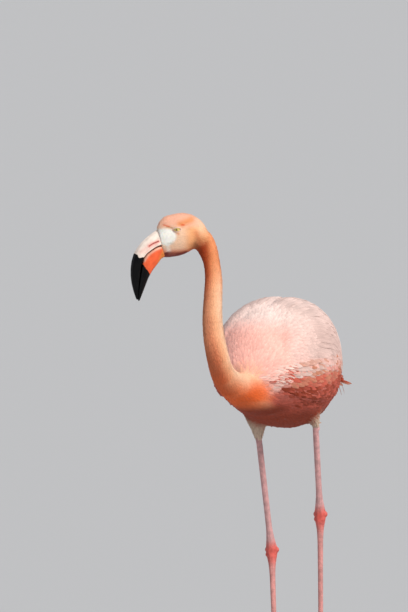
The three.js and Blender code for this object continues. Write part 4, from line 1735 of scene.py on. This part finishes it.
def legColours(points, side):
    joints = jointsOf(side)
    spots = fromFloor(points)
    fromAnkle = np.linalg.norm(spots - joints["ankle"], axis=1)
    above = ramp((spots - joints["ankle"])[:, 2], -4, 6)[:, None]
    colours = legTints["tarsus"] + (legTints["shank"] - legTints["tarsus"]) * above
    reach = 36 - 10 * above[:, 0]  # the red runs further down the leg than up it
    colours = colours + (legTints["coral"] - colours) * (1 - ramp(fromAnkle, 8, reach))[:, None]
    low = 1 - ramp(spots[:, 2], joints["foot"][2] - 2, joints["foot"][2] + 16)
    colours = colours + (legTints["toes"] - colours) * low[:, None]
    onWeb = low * ramp(joints["foot"][1] - spots[:, 1], 12, 30)
    return colours + (legTints["web"] - colours) * onWeb[:, None] * 0.5


# How far each point of a leg sinks between the plates that ring its front
def scutes(points, side):
    joints = jointsOf(side)
    spots = fromFloor(points)
    total = np.zeros(len(spots))
    for high, low in (("cuff", "ankle"), ("ankle", "foot")):
        span = joints[low] - joints[high]
        length = np.linalg.norm(span)
        down = (spots - joints[high]) @ (span / length)
        off = spots - joints[high] - down[:, None] * span / length
        within = ramp(down, 14, 30) * (1 - ramp(down, length - 34, length - 12))
        front = ramp(-unit(off)[:, 1], -0.35, 0.1)
        wave = np.abs(np.sin(np.pi * down / legShape["scute"]))
        total += within * front * (1 - ramp(wave, 0, 0.55)) * (np.linalg.norm(off, axis=1) < 16)
    return total


def makeLeg(side, finish):
    names = [f"{part}_{side}" for part in ("shank", "tarsus", "foot")]
    leg = copyNodes("leg" + side.title(), names)
    addSleeve(leg, side)
    addKnobs(leg, side)
    remesh(leg, legShape["swell"], legShape["voxel"])
    smoothAll(leg, legShape["rounds"])
    for joint, reach, rounds in legShape["jointRounds"]:
        smoothWhere(leg, isWithin(pointsOf(leg.data), place(*legJoints[side][joint]), reach), rounds)
    points, normals = pointsOf(leg.data), normalsOf(leg.data)
    sunk = scutes(points, side) * legShape["scuteDepth"] + legShape["swell"] * 0.6
    points = points - normals * sunk[:, None] * millimetre
    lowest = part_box("foot_" + side)[0].z
    points[:, 2] = np.maximum(points[:, 2], lowest)
    setPoints(leg.data, points)
    setTint(leg.data, legColours(points, side))
    leg.data.materials.append(finish)
    shadeSmooth(leg)
    return leg, names


def clawFinish():
    material, tree, shader = newMaterial("clawHorn", Roughness=0.35)
    spot = ownPlace(tree)
    noise = addNoise(tree, spot, 700.0, 3.0)
    streaks = spreadRange(tree, noise, 0.35, 0.7)
    colour = mixColours(tree, streaks, (0.05, 0.028, 0.024, 1), (0.13, 0.07, 0.055, 1))
    tree.links.new(colour, shader["Base Color"])
    addBump(tree, shader, noise, 0.3, 0.0002)
    return material


def makeClaws(finish):
    toes = ("inner", "middle", "outer", "hind")
    names = [f"claw_{side}_{toe}" for side in ("right", "left") for toe in toes]
    claws = copyNodes("claws", names)
    remesh(claws, clawShape["swell"], clawShape["voxel"])
    smoothAll(claws, clawShape["rounds"])
    points = pointsOf(claws.data)
    points[:, 2] = np.maximum(points[:, 2], min(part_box(name)[0].z for name in names))
    setPoints(claws.data, points)
    claws.data.materials.append(finish)
    shadeSmooth(claws)
    return claws, names


legSkin = legFinish()
legs = [makeLeg(side, legSkin) for side in ("right", "left")]
claws, clawNodes = makeClaws(clawFinish())
print("legs and claws")


# floor
def makeFloor():
    deselect()
    bpy.ops.mesh.primitive_plane_add(size=view["floorSize"], location=(0, 0, 0))
    floor = bpy.context.object
    floor.name = "floor"
    material, _, _ = newMaterial("paleFloor", Roughness=0.85, Base_Color=(0.54, 0.545, 0.55, 1))
    floor.data.materials.append(material)
    return floor


floor = makeFloor()

skin.data.materials.append(skinFinish())
for piece in [skin, *coatPieces]:
    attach(piece, "root")
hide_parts(*fleshNodes)
for node, eye in eyes.items():
    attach(eye, "root")
    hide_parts(node)
for node, half in billPieces.items():
    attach(half, "root")
    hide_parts(node)
for leg, names in legs:
    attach(leg, "root")
    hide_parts(*names)
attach(claws, "root")
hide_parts(*clawNodes)
bpy.context.view_layer.update()
print("finished")
